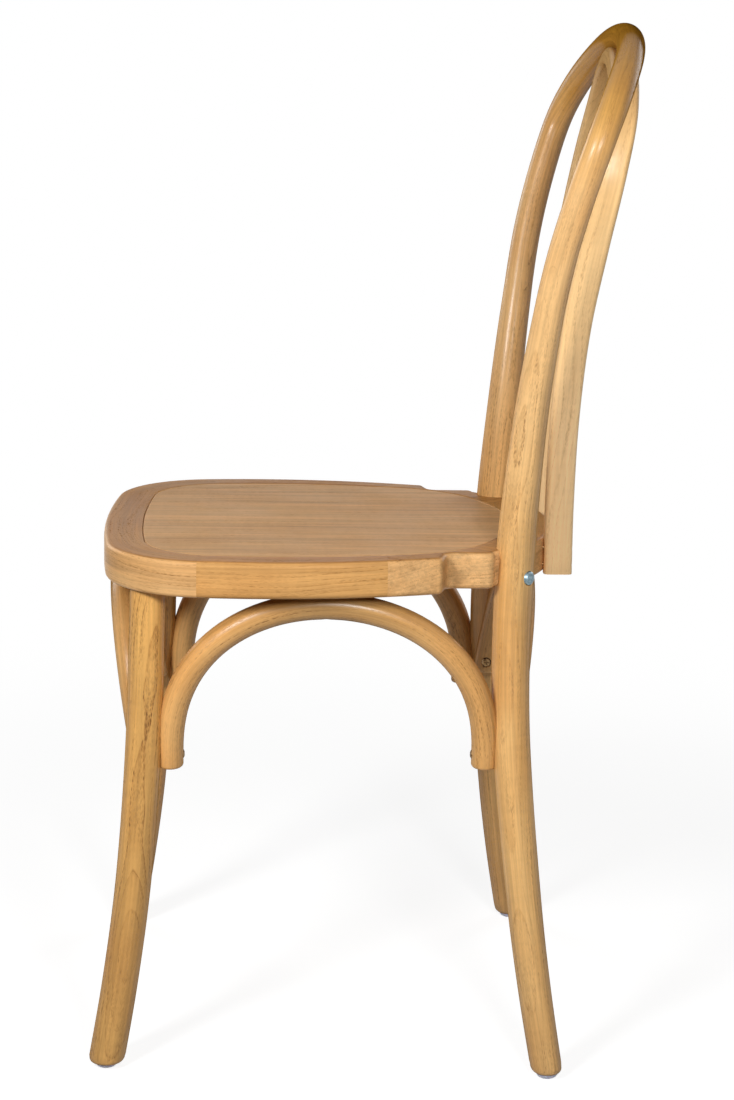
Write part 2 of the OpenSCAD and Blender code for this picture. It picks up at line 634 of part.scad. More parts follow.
module inner_hoop() {
    color(honey)
        place()
            difference() {
                skin([for (i = [0:len(inner_path) - 1]) strip_ring(i)]);
                both_sides()
                    for (s = inner_screw_places)
                        screw_hole(s, inner_screw_l);
                screw_hole(crown_screw_place, crown_screw_l);
            }
}

module seat_front_rail() {
    color(honey)
        place()
            difference() {
                skin(front_stations);
                both_sides() {
                    translate([front_x, front_top_y, frame_base - 1])
                        cylinder(h = tenon_l + 1.5, d = tenon_d + 2 * hole_gap, $fn = 40);
                    dowel_holes(side_joint);
                    screw_hole(panel_screw_places[0], panel_screw_l);
                }
                screw_hole(cross_top_screws[0], top_screw_l);
            }
}

module seat_side_rail_left() {
    color(honey)
        place()
            difference() {
                skin(stations(outer_side, inner_side));
                dowel_holes(concat(side_joint, block_joint));
                screw_hole(side_top_screw, top_screw_l);
                screw_hole(panel_screw_places[1], panel_screw_l);
            }
}

module seat_side_rail_right() {
    mirror([1, 0, 0])
        seat_side_rail_left();
}

module seat_corner_left() {
    color(honey)
        place()
            difference() {
                skin(stations(outer_block, inner_block));
                hoop_seat(frame_base - 4, seat_h + 4, 2);
                bolt_hole();
                dowel_holes(concat(block_joint, rear_rail_joint));
            }
}

module seat_corner_right() {
    mirror([1, 0, 0])
        seat_corner_left();
}

module seat_rear_rail() {
    color(honey)
        place()
            difference() {
                skin(rear_stations);
                both_sides() {
                    translate([inner_foot_x - strip_t / 2 - touch, inner_seat_y - touch, frame_base - 1])
                        cube([strip_t + 2 * touch, strip_d, frame_t + 2]);
                    hoop_seat(frame_base - 4, seat_h + 4, 2);
                    dowel_holes(rear_rail_joint);
                    for (s = inner_screw_places)
                        screw_hole(s, inner_screw_l);
                    screw_hole(panel_screw_places[2], panel_screw_l);
                }
                screw_hole(cross_top_screws[1], top_screw_l);
            }
}

// The panel lies on the ledge; its top edge is eased like the frame's, which leaves a fine groove
module seat_panel() {
    half = concat(inner_front, tail(inner_corner), tail(inner_side), tail(inner_block), tail(inner_rear));
    outline = concat(half, tail(mirrored(half)));
    closed = [for (i = [0:len(outline) - 2]) outline[i]];
    n = len(closed);
    function edge(i, d, z) =
        let (u = unit(closed[(i + 1) % n] - closed[(i + n - 1) % n]))
        [closed[i][0] - u[1] * d, closed[i][1] + u[0] * d, z];
    function loop(d, z) = [for (i = [0:n - 1]) edge(i, d, z)];
    color(tan_wood)
        place()
            difference() {
                skin([
                    loop(panel_gap, frame_base + ledge_h),
                    loop(panel_gap, seat_h - small_edge),
                    loop(panel_gap + small_edge, seat_h)]);
                both_sides()
                    for (s = panel_screw_places)
                        screw_hole(s, panel_screw_l);
            }
}

module front_leg_left() {
    color(honey)
        place()
            difference() {
                union() {
                    skin(concat(
                        level_foot(front_leg_at(glide_h), front_leg_at(glide_h + foot_chamfer), front_leg_r),
                        [for (i = [2:len(front_leg_path) - 2])
                            ring(front_leg_path[i], heading(front_leg_path, i), [0, 1, 0], round_profile(front_leg_r, hoop_sides))],
                        [foot_ring(front_leg_pts[4], front_leg_r, frame_base - touch, hoop_sides)]));
                    translate([front_x, front_top_y, frame_base - 5])
                        cylinder(h = tenon_l + 5, d = tenon_d, $fn = 40);
                }
                screw_hole(arch_end_screw_places[0], arch_screw_l);
                screw_hole(arch_end_screw_places[2], arch_screw_l);
                glide_hole(front_leg_at(glide_h));
            }
}

module front_leg_right() {
    mirror([1, 0, 0])
        front_leg_left();
}

module side_arch_left() {
    color(honey)
        place()
            difference() {
                skin(arch_rings(side_arch_path, [1, 0, 0]));
                front_leg_seat(side_arch_foot_h - 6, side_arch_foot_h + 72, 3);
                hoop_seat(side_arch_heel_h - 6, side_arch_heel_h + 72, 3);
                screw_hole(arch_end_screw_places[0], arch_screw_l);
                screw_hole(arch_end_screw_places[1], arch_screw_l);
                screw_hole(side_top_screw, top_screw_l);
            }
}

module side_arch_right() {
    mirror([1, 0, 0])
        side_arch_left();
}

module front_arch() {
    color(honey)
        place()
            difference() {
                skin(arch_rings(front_arch_path, [0, 1, 0]));
                both_sides() {
                    front_leg_seat(front_arch_foot_h - 6, front_arch_foot_h + 72, 3);
                    screw_hole(arch_end_screw_places[2], arch_screw_l);
                }
                screw_hole(cross_top_screws[0], top_screw_l);
            }
}

module rear_arch() {
    color(honey)
        place()
            difference() {
                skin(arch_rings(rear_arch_path, [0, 1, 0]));
                both_sides() {
                    hoop_seat(cross_arch_foot_h - 6, cross_arch_foot_h + 72, 3);
                    screw_hole(arch_end_screw_places[3], arch_screw_l);
                }
                screw_hole(cross_top_screws[1], top_screw_l);
            }
}

// A glide: a domed disc with a flat sole, on a nail
module glide(p) {
    color(clear_white)
        place()
            translate([p[0], p[1], 0])
                rotate_extrude($fn = 40)
                    polygon([[0, 0], [glide_d * 0.3, 0], [glide_d * 0.43, glide_h * 0.3], [glide_d / 2, glide_h * 0.75],
                        [glide_d / 2, glide_h], [glide_nail_d / 2, glide_h], [glide_nail_d / 2, glide_h + glide_nail_l - 2],
                        [0, glide_h + glide_nail_l]]);
}

module glide_front_left() {
    glide(front_leg_at(glide_h));
}

module glide_front_right() {
    mirror([1, 0, 0])
        glide_front_left();
}

module glide_rear_left() {
    glide(hoop_at(glide_h));
}

module glide_rear_right() {
    mirror([1, 0, 0])
        glide_rear_left();
}

module hoop_bolt_left() {
    head_h = 3.6;
    color(zinc)
        place()
            aim(bolt_point(bolt_seat), -bolt_out)
                rotate_extrude($fn = 40)
                    polygon([[0, -head_h], [bolt_head_d * 0.2, -head_h * 0.93], [bolt_head_d * 0.36, -head_h * 0.7],
                        [bolt_head_d * 0.46, -head_h * 0.38], [bolt_head_d / 2, 0], [bolt_d / 2, 0],
                        [bolt_d / 2, bolt_seat + bolt_end - 1], [bolt_d / 2 - 1, bolt_seat + bolt_end], [0, bolt_seat + bolt_end]]);
}

module hoop_bolt_right() {
    mirror([1, 0, 0])
        hoop_bolt_left();
}

module hoop_washers() {
    color(zinc)
        place()
            both_sides()
                difference() {
                    rod(bolt_point(-nut_seat), bolt_point(-nut_seat - washer_t), washer_d / 2);
                    rod(bolt_point(-nut_seat + 1), bolt_point(-nut_seat - washer_t - 1), bolt_d / 2 + 2 * hole_gap);
                }
}

module hoop_nuts() {
    color(zinc)
        place()
            both_sides()
                difference() {
                    aim(bolt_point(-nut_seat - washer_t), -bolt_out)
                        cylinder(h = nut_t, d = nut_d, $fn = 6);
                    rod(bolt_point(-nut_seat), bolt_point(-bolt_end - 2), bolt_d / 2 + hole_gap);
                }
}

module arch_end_screws() {
    color(bronze)
        place()
            both_sides()
                for (s = arch_end_screw_places)
                    screw(s, arch_screw_l);
}

module arch_top_screws() {
    color(bronze)
        place() {
            both_sides()
                screw(side_top_screw, top_screw_l);
            for (s = cross_top_screws)
                screw(s, top_screw_l);
        }
}

module inner_hoop_screws() {
    color(bronze)
        place()
            both_sides()
                for (s = inner_screw_places)
                    screw(s, inner_screw_l);
}

module crown_screw() {
    color(bronze)
        place()
            screw(crown_screw_place, crown_screw_l);
}

module panel_screws() {
    color(bronze)
        place()
            both_sides()
                for (s = panel_screw_places)
                    screw(s, panel_screw_l);
}

module frame_dowels() {
    color(tan_wood)
        place()
            both_sides()
                for (d = dowels)
                    aim([d[0][0], d[0][1], dowel_h] - [d[1][0], d[1][1], 0] * dowel_l / 2, [d[1][0], d[1][1], 0])
                        cylinder(h = dowel_l, d = dowel_d, $fn = 32);
}

back_hoop();
inner_hoop();
seat_front_rail();
seat_side_rail_left();
seat_side_rail_right();
seat_corner_left();
seat_corner_right();
seat_rear_rail();
seat_panel();
front_leg_left();
front_leg_right();
side_arch_left();
side_arch_right();
front_arch();
rear_arch();
glide_front_left();
glide_front_right();
glide_rear_left();
glide_rear_right();
hoop_bolt_left();
hoop_bolt_right();
hoop_washers();
hoop_nuts();
arch_end_screws();
arch_top_screws();
inner_hoop_screws();
crown_screw();
panel_screws();
frame_dowels();
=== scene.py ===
import math
import bpy
import bmesh
import numpy as np
from mathutils import Matrix, Vector


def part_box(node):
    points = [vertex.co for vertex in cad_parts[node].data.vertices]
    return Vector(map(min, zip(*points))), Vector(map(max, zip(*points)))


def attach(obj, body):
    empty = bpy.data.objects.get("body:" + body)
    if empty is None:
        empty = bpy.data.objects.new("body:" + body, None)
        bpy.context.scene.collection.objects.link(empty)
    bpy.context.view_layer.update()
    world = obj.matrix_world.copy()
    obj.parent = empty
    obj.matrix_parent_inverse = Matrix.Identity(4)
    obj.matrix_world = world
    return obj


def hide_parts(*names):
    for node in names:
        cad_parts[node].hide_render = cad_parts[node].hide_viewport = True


# Bentwood side chair: bent rods and strips, a framed seat, and clear lacquer all over.
# Lengths in the piece dictionaries are millimetres with the front of the chair at -Y;
# fromMm() turns them into metres about the middle of the chair.

for leftover in ("Cube", "Light", "Camera"):
    if leftover in bpy.data.objects:
        bpy.data.objects.remove(bpy.data.objects[leftover])
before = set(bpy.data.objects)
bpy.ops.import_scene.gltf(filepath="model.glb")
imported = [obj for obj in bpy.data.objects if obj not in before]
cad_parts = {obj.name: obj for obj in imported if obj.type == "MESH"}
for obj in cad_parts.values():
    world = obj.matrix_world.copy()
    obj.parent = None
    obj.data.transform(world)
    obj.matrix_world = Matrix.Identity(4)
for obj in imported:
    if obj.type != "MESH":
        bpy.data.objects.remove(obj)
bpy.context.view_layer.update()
print("frame loaded:", len(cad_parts), "parts")


# Camera, first, because everything else is judged through it
photoCamera = dict(place=(2.5405, -0.0804, 0.9577), yaw=-1.912, pitch=11.924, roll=0.91, lens=93.66)


def makeCamera(spec):
    yaw, pitch, roll = (math.radians(spec[k]) for k in ("yaw", "pitch", "roll"))
    level = Vector((-math.cos(yaw), -math.sin(yaw), 0))
    side = Vector((-math.sin(yaw), math.cos(yaw), 0))
    ahead = level * math.cos(pitch) - Vector((0, 0, math.sin(pitch)))
    upward = Vector((0, 0, math.cos(pitch))) + level * math.sin(pitch)
    right = side * math.cos(roll) + upward * math.sin(roll)
    top = upward * math.cos(roll) - side * math.sin(roll)
    data = bpy.data.cameras.new("photoCamera")
    data.sensor_fit = "VERTICAL"
    data.sensor_height = 36
    data.lens = spec["lens"]
    camera = bpy.data.objects.new("photoCamera", data)
    turned = Matrix((right, top, -ahead)).transposed().to_4x4()
    camera.matrix_world = Matrix.Translation(spec["place"]) @ turned
    bpy.context.collection.objects.link(camera)
    bpy.context.scene.camera = camera


makeCamera(photoCamera)


# Plan of the seat, which the legs, arches and hoops are set out from
seat = dict(
    width=390, depth=403, top=450, thick=32, edge=5, railFront=34, railSide=27, railRear=38,
    corner=92, innerCorner=68, notchIn=24, notchBack=290, notchTurn=76, notchRound=6, coveRound=9,
    flankRound=8, flankRoom=9, slantIn=4, jointIn=6, innerJointIn=32, innerWidest=-5, innerRear=200,
    innerTurn=100, panel=9, panelGap=0.4, ledge=10, smallEdge=1.2, front=-156, frontBow=1100, sideBow=480,
    rearBow=215, widest=-15, sideJoint=92, legIn=43, bevel=0.3, sharp=30, past=6)
hoop = dict(
    height=895, footWidth=424, waist=252, bowWidth=354, bowRise=98, footBack=33, crownBack=96,
    footSize=27, seatSize=34, bowSize=24.5, sides=56, steps=14, footRound=4.5, footThinner=0.15,
    lowerThinner=0.9, bowThicker=0.8, pastFoot=40)
glideHeight = 4.5
hair = 0.1
seatRear = seat["front"] + seat["depth"]
frameBase = seat["top"] - seat["thick"]
legY = seatRear - seat["legIn"]
waistX = hoop["waist"] / 2
hoopReach = legY + hoop["crownBack"] + hoop["bowSize"] / 2
middleY = hoopReach - 1000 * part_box("back_hoop")[1].y


def fromMm(p):
    return Vector((p[0] / 1000, (p[1] - middleY) / 1000, p[2] / 1000))


def mix(a, b, t):
    return a + (b - a) * t


def flipped(points):
    return [(-p[0],) + tuple(p[1:]) for p in reversed(points)]


def smoothThrough(knots, steps):
    # Centripetal spline through the knots, each stretch in so many steps
    k = [np.array(p, float) for p in knots]
    k = [2 * k[0] - k[1]] + k + [2 * k[-1] - k[-2]]
    out = []
    for i in range(1, len(k) - 2):
        a, b, c, d = k[i - 1:i + 3]
        t1 = np.linalg.norm(b - a) ** 0.5
        t2 = t1 + np.linalg.norm(c - b) ** 0.5
        t3 = t2 + np.linalg.norm(d - c) ** 0.5
        for s in range(steps):
            t = mix(t1, t2, s / steps)
            a1 = a * (t1 - t) / t1 + b * t / t1
            a2 = b * (t2 - t) / (t2 - t1) + c * (t - t1) / (t2 - t1)
            a3 = c * (t3 - t) / (t3 - t2) + d * (t - t2) / (t3 - t2)
            b1 = a1 * (t2 - t) / t2 + a2 * t / t2
            b2 = a2 * (t3 - t) / (t3 - t1) + a3 * (t - t1) / (t3 - t1)
            out.append(b1 * (t2 - t) / (t2 - t1) + b2 * (t - t1) / (t2 - t1))
    out.append(k[-2])
    return out


def atHeight(path, z):
    # Where a rising path passes a height
    rising = sorted(path, key=lambda p: p[2])
    heights = [p[2] for p in rising]
    return np.array([np.interp(z, heights, [p[i] for p in rising]) for i in (0, 1)] + [z])


# Node helpers
def feed(tree, socket, value):
    # A socket takes either a link from another node or a plain value
    if isinstance(value, bpy.types.NodeSocket):
        tree.links.new(value, socket)
    elif value is not None:
        wide = socket.type == "RGBA" and len(value) == 3
        socket.default_value = value + (1.0,) if wide else value


def addNode(tree, kind, **values):
    # A value whose key starts with in_ is for the input of that name, others are settings
    node = tree.nodes.new(kind)
    for key, value in values.items():
        if key.startswith("in_"):
            feed(tree, node.inputs[key[3:].replace("_", " ")], value)
        else:
            setattr(node, key, value)
    return node


def newTree(name, kind, inputs, outputs):
    tree = bpy.data.node_groups.new(name, kind)
    for label, socketType, value in inputs:
        socket = tree.interface.new_socket(label, in_out="INPUT", socket_type="NodeSocket" + socketType)
        if value is not None:
            socket.default_value = value
    for label, socketType in outputs:
        tree.interface.new_socket(label, in_out="OUTPUT", socket_type="NodeSocket" + socketType)
    given = tree.nodes.new("NodeGroupInput").outputs
    return tree, given, tree.nodes.new("NodeGroupOutput").inputs


def newMaterial(name):
    material = bpy.data.materials.new(name)
    material.use_nodes = True
    material.node_tree.nodes.clear()
    return material, material.node_tree


def arrange(tree):
    # Columns of nodes, so that the tree can be read when it is opened
    for i, node in enumerate(tree.nodes):
        node.location = (220 * (i // 4), -260 * (i % 4))


def math2(tree, operation, a, b=None, clamp=False):
    node = addNode(tree, "ShaderNodeMath", operation=operation, use_clamp=clamp)
    for socket, value in zip(node.inputs, (a, b)):
        feed(tree, socket, value)
    return node.outputs[0]


def times(tree, a, b):
    return math2(tree, "MULTIPLY", a, b)


def plus(tree, a, b):
    return math2(tree, "ADD", a, b)


def vectorMath(tree, operation, a, b=None):
    node = addNode(tree, "ShaderNodeVectorMath", operation=operation)
    for socket, value in zip(node.inputs, (a, b)):
        feed(tree, socket, value)
    return node.outputs["Value" if operation == "LENGTH" else "Vector"]


def noiseOf(tree, vector, scale, detail=2, roughness=0.5):
    return addNode(
        tree, "ShaderNodeTexNoise", in_Detail=detail, in_Roughness=roughness, in_Scale=1,
        in_Vector=vectorMath(tree, "MULTIPLY", vector, scale)).outputs


def cellsOf(tree, vector, scale):
    return addNode(
        tree, "ShaderNodeTexVoronoi", in_Scale=1, in_Randomness=1,
        in_Vector=vectorMath(tree, "MULTIPLY", vector, scale)).outputs["Distance"]


def between(tree, value, low, high, toLow=0.0, toHigh=1.0, smooth=True):
    return addNode(
        tree, "ShaderNodeMapRange", interpolation_type="SMOOTHSTEP" if smooth else "LINEAR", in_Value=value,
        in_From_Min=low, in_From_Max=high, in_To_Min=toLow, in_To_Max=toHigh).outputs["Result"]


def blendColor(tree, factor, a, b, mode="MIX"):
    node = addNode(tree, "ShaderNodeMix", data_type="RGBA", blend_type=mode, in_Factor=factor)
    feed(tree, node.inputs[6], a)
    feed(tree, node.inputs[7], b)
    return node.outputs[2]


# Wood grain group: a board with its heart to one side, cut wherever the vector lies.
# Scales are repeats a metre, across the board twice and then along it
figureScale = dict(
    heart=(5, 5, 4.4), ripple=(70, 70, 24), uneven=170.0, patch=(24, 24, 6), shortPore=(1050, 1050, 240),
    longPore=(680, 680, 150), patchy=(150, 150, 14), broken=(480, 480, 170), fibre=(420, 420, 9),
    band=(95, 95, 3), curl=(34, 34, 150), mottle=(22, 22, 7))
figureDepth = dict(
    ripple=0.0018, uneven=1.1, fibre=0.11, band=0.09, curl=0.025, baseRough=0.36, poreRough=0.3,
    fibreRough=0.08, earlyDeep=-0.2, fibreHigh=0.3)


def makeWoodFigure():
    scale, depth = figureScale, figureDepth
    tree, given, result = newTree(
        "woodFigure", "ShaderNodeTree",
        [("Grain", "Vector", None), ("Heart", "Vector", (0, 0, 0)), ("Ring Width", "Float", 0.004),
         ("Wander", "Float", 0.02), ("Ring Contrast", "Float", 0.5), ("Pore Strength", "Float", 0.5),
         ("Mottle", "Float", 0.35), ("Streak", "Float", 0.5), ("Light Wood", "Color", (0.66, 0.42, 0.19, 1)),
         ("Dark Ring", "Color", (0.45, 0.25, 0.09, 1)), ("Pore", "Color", (0.16, 0.08, 0.03, 1)),
         ("Stain", "Color", (0.62, 0.34, 0.12, 1))],
        [("Color", "Color"), ("Roughness", "Float"), ("Height", "Float")])
    grain = given["Grain"]

    def noise(name, **rest):
        return noiseOf(tree, grain, scale[name], **rest)["Fac"]

    # The heart wanders slowly along the board, so the rings run out of its faces as arches
    wave = noiseOf(tree, grain, scale["heart"], detail=1.5, roughness=0.45)
    centred = vectorMath(tree, "SUBTRACT", wave["Color"], (0.5, 0.5, 0.5))
    scaled = addNode(tree, "ShaderNodeVectorMath", operation="SCALE",
        in_Scale=times(tree, given["Wander"], 2.0))
    feed(tree, scaled.inputs[0], centred)
    bent = vectorMath(tree, "ADD", grain, scaled.outputs[0])
    fromHeart = vectorMath(tree, "SUBTRACT", bent, given["Heart"])
    radius = vectorMath(tree, "LENGTH", vectorMath(tree, "MULTIPLY", fromHeart, (1, 1, 0)))
    radius = plus(tree, radius, times(tree, noise("ripple", detail=1), depth["ripple"]))
    uneven = addNode(
        tree, "ShaderNodeTexNoise", noise_dimensions="1D", in_Scale=1, in_Detail=1,
        in_W=times(tree, radius, scale["uneven"]))
    ring = math2(tree, "DIVIDE", radius, given["Ring Width"])
    ring = plus(tree, ring, times(tree, uneven.outputs["Fac"], depth["uneven"]))
    share = math2(tree, "FRACT", ring)
    yearNoise = addNode(
        tree, "ShaderNodeTexWhiteNoise", noise_dimensions="1D", in_W=math2(tree, "FLOOR", ring))

    # Porous early wood: a fine dark line that fades into the ring, stronger in some places than in others
    line = between(tree, share, 0.0, 0.3, 1.0, 0.0)
    fade = between(tree, share, 0.1, 0.95, 0.34, 0.0)
    turn = between(tree, share, 0.93, 1.0, 0.0, 1.0)
    early = math2(tree, "MAXIMUM", math2(tree, "MAXIMUM", line, fade), turn)
    early = times(tree, early, between(tree, yearNoise.outputs["Value"], 0, 1, 0.35, 1.0, False))
    early = times(tree, early, between(tree, noise("patch", detail=1), 0.34, 0.64, 0.35, 1.0))

    # Open pores along the grain, short and long, most of them in the early wood
    fine = between(tree, cellsOf(tree, grain, scale["shortPore"]), 0.2, 0.5, 0.8, 0.0)
    coarse = between(tree, cellsOf(tree, grain, scale["longPore"]), 0.16, 0.44, 1.0, 0.0)
    pore = math2(tree, "MAXIMUM", fine, coarse)
    pore = times(tree, pore, between(tree, noise("patchy", detail=1), 0.36, 0.6, 0.15, 1.0))
    pore = times(tree, pore, between(tree, early, 0, 0.5, 0.2, 1.0, False))
    early = times(tree, early, between(tree, noise("broken", detail=1), 0.36, 0.58, 0.4, 1.0))

    # Fine fibres, broad uneven stain, and a faint curl across the grain
    fibre = noise("fibre", roughness=0.6)
    dark = times(tree, early, given["Ring Contrast"])
    color = blendColor(tree, dark, given["Light Wood"], given["Dark Ring"])
    stained = times(tree, between(tree, noise("mottle", roughness=0.55), 0.36, 0.7), given["Mottle"])
    color = blendColor(tree, stained, color, given["Stain"])

    def swing(value, low, high, name):
        return between(tree, value, low, high, -depth[name], depth[name], False)

    level = plus(tree, swing(fibre, 0.25, 0.75, "fibre"), swing(noise("band"), 0.3, 0.7, "band"))
    level = times(tree, level, given["Streak"])
    level = plus(tree, level, swing(noise("curl", detail=1), 0.3, 0.7, "curl"))
    level = plus(tree, level, 1.0)
    streak = addNode(tree, "ShaderNodeCombineColor", in_Red=level, in_Green=level, in_Blue=level)
    color = blendColor(tree, 1.0, color, streak.outputs[0], "MULTIPLY")
    openPore = times(tree, pore, given["Pore Strength"])
    feed(tree, result["Color"], blendColor(tree, openPore, color, given["Pore"]))

    rough = plus(tree, depth["baseRough"], times(tree, pore, depth["poreRough"]))
    feed(tree, result["Roughness"], plus(tree, rough, times(tree, fibre, depth["fibreRough"])))
    height = plus(tree, times(tree, pore, -1.0), times(tree, early, depth["earlyDeep"]))
    feed(tree, result["Height"], plus(tree, height, times(tree, fibre, depth["fibreHigh"])))
    arrange(tree)
    return tree


woodFigure = makeWoodFigure()


# Smear group: faint cloudy smears in the lacquer, as a change of its roughness
def makeLacquerSmear():
    tree, given, result = newTree(
        "lacquerSmear", "ShaderNodeTree", [("Place", "Vector", None), ("Smear", "Float", 0.05)],
        [("Roughness", "Float")])
    cloud = noiseOf(tree, given["Place"], (11, 11, 11), detail=3, roughness=0.6)
    amount = between(tree, cloud["Fac"], 0.35, 0.7, -0.5, 0.5)
    feed(tree, result["Roughness"], times(tree, amount, given["Smear"]))
    arrange(tree)
    return tree


lacquerSmear = makeLacquerSmear()


def makeWood(name, spec):
    material, tree = newMaterial(name)
    shader = addNode(
        tree, "ShaderNodeBsdfPrincipled", in_IOR=1.46, in_Specular_IOR_Level=spec["specular"])
    place = tree.nodes.new("ShaderNodeTexCoord").outputs
    if spec.get("alongPiece", True):
        grain = addNode(tree, "ShaderNodeAttribute", attribute_name="grain").outputs["Vector"]
    else:
        grain = place["Object"]
    figure = addNode(
        tree, "ShaderNodeGroup", node_tree=woodFigure, in_Grain=grain, in_Heart=spec["heart"],
        in_Ring_Width=spec["ring"], in_Wander=spec["wander"], in_Ring_Contrast=spec["contrast"],
        in_Pore_Strength=spec["pores"], in_Mottle=spec["mottle"], in_Streak=spec["streak"],
        in_Light_Wood=spec["light"], in_Dark_Ring=spec["dark"], in_Pore=spec["pore"], in_Stain=spec["stain"])
    smear = addNode(
        tree, "ShaderNodeGroup", node_tree=lacquerSmear, in_Smear=spec["smear"], in_Place=place["Object"])
    bump = addNode(
        tree, "ShaderNodeBump", in_Strength=spec["bump"], in_Distance=0.0002,
        in_Height=figure.outputs["Height"])
    color = figure.outputs["Color"]
    if "paintedLightShadeByHeight" in spec:
        # Painted light and shade: the colour is made lighter or darker with the height on the chair, where
        # the lamps fall stronger or weaker
        split = tree.nodes.new("ShaderNodeSeparateXYZ")
        feed(tree, split.inputs[0], place["Object"])
        ramp = addNode(tree, "ShaderNodeValToRGB", in_Fac=split.outputs["Z"])
        while len(ramp.color_ramp.elements) < len(spec["paintedLightShadeByHeight"]):
            ramp.color_ramp.elements.new(1.0)
        for element, (height, paintedLevel) in zip(ramp.color_ramp.elements, spec["paintedLightShadeByHeight"]):
            element.position = height
            element.color = paintedLevel + (1,)
        color = blendColor(tree, 1.0, color, ramp.outputs["Color"], "MULTIPLY")
    if "paintedTopShade" in spec:
        # Painted shade: faces that look up are darkened, for the weaker light from above
        facing = tree.nodes.new("ShaderNodeSeparateXYZ")
        feed(tree, facing.inputs[0], place["Normal"])
        upward = between(tree, facing.outputs["Z"], 0.75, 0.98)
        color = blendColor(tree, upward, color, blendColor(tree, 1.0, color, spec["paintedTopShade"], "MULTIPLY"))
    feed(tree, shader.inputs["Base Color"], color)
    if spec.get("edgeGloss"):
        # Satin lacquer loses its gloss where a round side turns away
        facing = addNode(tree, "ShaderNodeLayerWeight", in_Blend=0.5)
        gloss = between(tree, facing.outputs["Facing"], 0.35, 0.8, spec["specular"], 0.0)
        feed(tree, shader.inputs["Specular IOR Level"], gloss)
    rough = plus(tree, figure.outputs["Roughness"], smear.outputs["Roughness"])
    feed(tree, shader.inputs["Roughness"], plus(tree, rough, spec["duller"]))
    feed(tree, shader.inputs["Normal"], bump.outputs["Normal"])
    addNode(tree, "ShaderNodeOutputMaterial", in_Surface=shader.outputs[0])
    arrange(tree)
    return material


rodWood = dict(
    light=(0.74, 0.405, 0.12), dark=(0.34, 0.145, 0.03), pore=(0.17, 0.07, 0.015), stain=(0.56, 0.25, 0.06),
    heart=(0, 0, 0), ring=0.0027, wander=0.022, contrast=0.85, pores=0.85, mottle=0.5, streak=1.5,
    smear=0.08, specular=0.35, edgeGloss=True, bump=0.4, duller=-0.1)
# Painted light and shade by height: a lighter, bluer band at mid height is painted sheen; the darker crown
# and darker feet are painted shade
hoopWood = dict(rodWood, light=(0.79, 0.475, 0.185), contrast=0.65, pores=0.7, paintedLightShadeByHeight=[
    (0.0, (0.84, 0.84, 0.84)), (0.2, (0.94, 0.93, 0.9)), (0.42, (1.0, 1.0, 0.98)), (0.56, (1.06, 1.09, 1.2)),
    (0.76, (1.06, 1.08, 1.18)), (0.83, (0.84, 0.75, 0.5)), (0.9, (0.5, 0.36, 0.05))])
# Painted light and shade by height: the lower strip is lightened and its top darkened
stripWood = dict(
    rodWood, light=(0.92, 0.64, 0.34), stain=(0.80, 0.48, 0.20), contrast=0.3,
    pores=0.3, ring=0.005, mottle=0.3,
    streak=0.8, paintedLightShadeByHeight=[
        (0.0, (1.14, 1.14, 1.12)), (0.54, (1.14, 1.14, 1.12)),
        (0.64, (0.96, 0.93, 0.84)), (0.8, (0.92, 0.86, 0.72)),
        (0.86, (0.68, 0.58, 0.42))])
# Painted shade: the legs are darker towards the floor
legWood = dict(rodWood, contrast=1.0, pores=1.0, paintedLightShadeByHeight=[
    (0.0, (0.74, 0.74, 0.76)), (0.2, (0.84, 0.84, 0.84)), (0.42, (0.95, 0.96, 0.95))])
# Painted shadow: the arch tops under the seat rails are darkened
archWood = dict(rodWood, light=(0.70, 0.395, 0.135), contrast=0.4, pores=0.7, ring=0.004, paintedLightShadeByHeight=[
    (0.0, (1.0, 1.0, 1.0)), (0.375, (1.0, 1.0, 1.05)), (0.397, (0.78, 0.78, 0.8)),
    (0.415, (0.44, 0.45, 0.47))])
# The frame and side rails get painted shade on the faces that look up
frameWood = dict(
    rodWood, light=(0.75, 0.45, 0.20), stain=(0.60, 0.31, 0.11), ring=0.004, wander=0.03,
    contrast=0.65, pores=0.5,
    mottle=0.7, specular=0.08, edgeGloss=False, duller=0.0, paintedTopShade=(0.62, 0.5, 0.32))
sideRailWood = dict(frameWood, light=(0.64, 0.345, 0.12), stain=(0.54, 0.26, 0.08),
    paintedTopShade=(0.72, 0.64, 0.58))
panelWood = dict(
    light=(0.63, 0.36, 0.155), dark=(0.44, 0.225, 0.085), pore=(0.28, 0.13, 0.05), stain=(0.56, 0.29, 0.115),
    heart=(0, 0, 0), ring=0.006, wander=0.012, contrast=0.4, pores=0.45, mottle=0.35, streak=1.4,
    smear=0.08, specular=0.1, bump=0.35, duller=0.08)
plainWood = dict(rodWood, light=(0.68, 0.46, 0.24), alongPiece=False, duller=0.15)
hoopMaterial = makeWood("honeyAshHoop", hoopWood)
stripMaterial = makeWood("honeyAshStrip", stripWood)
legMaterial = makeWood("honeyAshLeg", legWood)
archMaterial = makeWood("honeyAshArch", archWood)
frameMaterial = makeWood("honeyAshFrame", frameWood)
sideRailMaterial = makeWood("honeyAshSideRail", sideRailWood)
panelMaterial = makeWood("ashPanel", panelWood)
dowelMaterial = makeWood("dowelWood", plainWood)


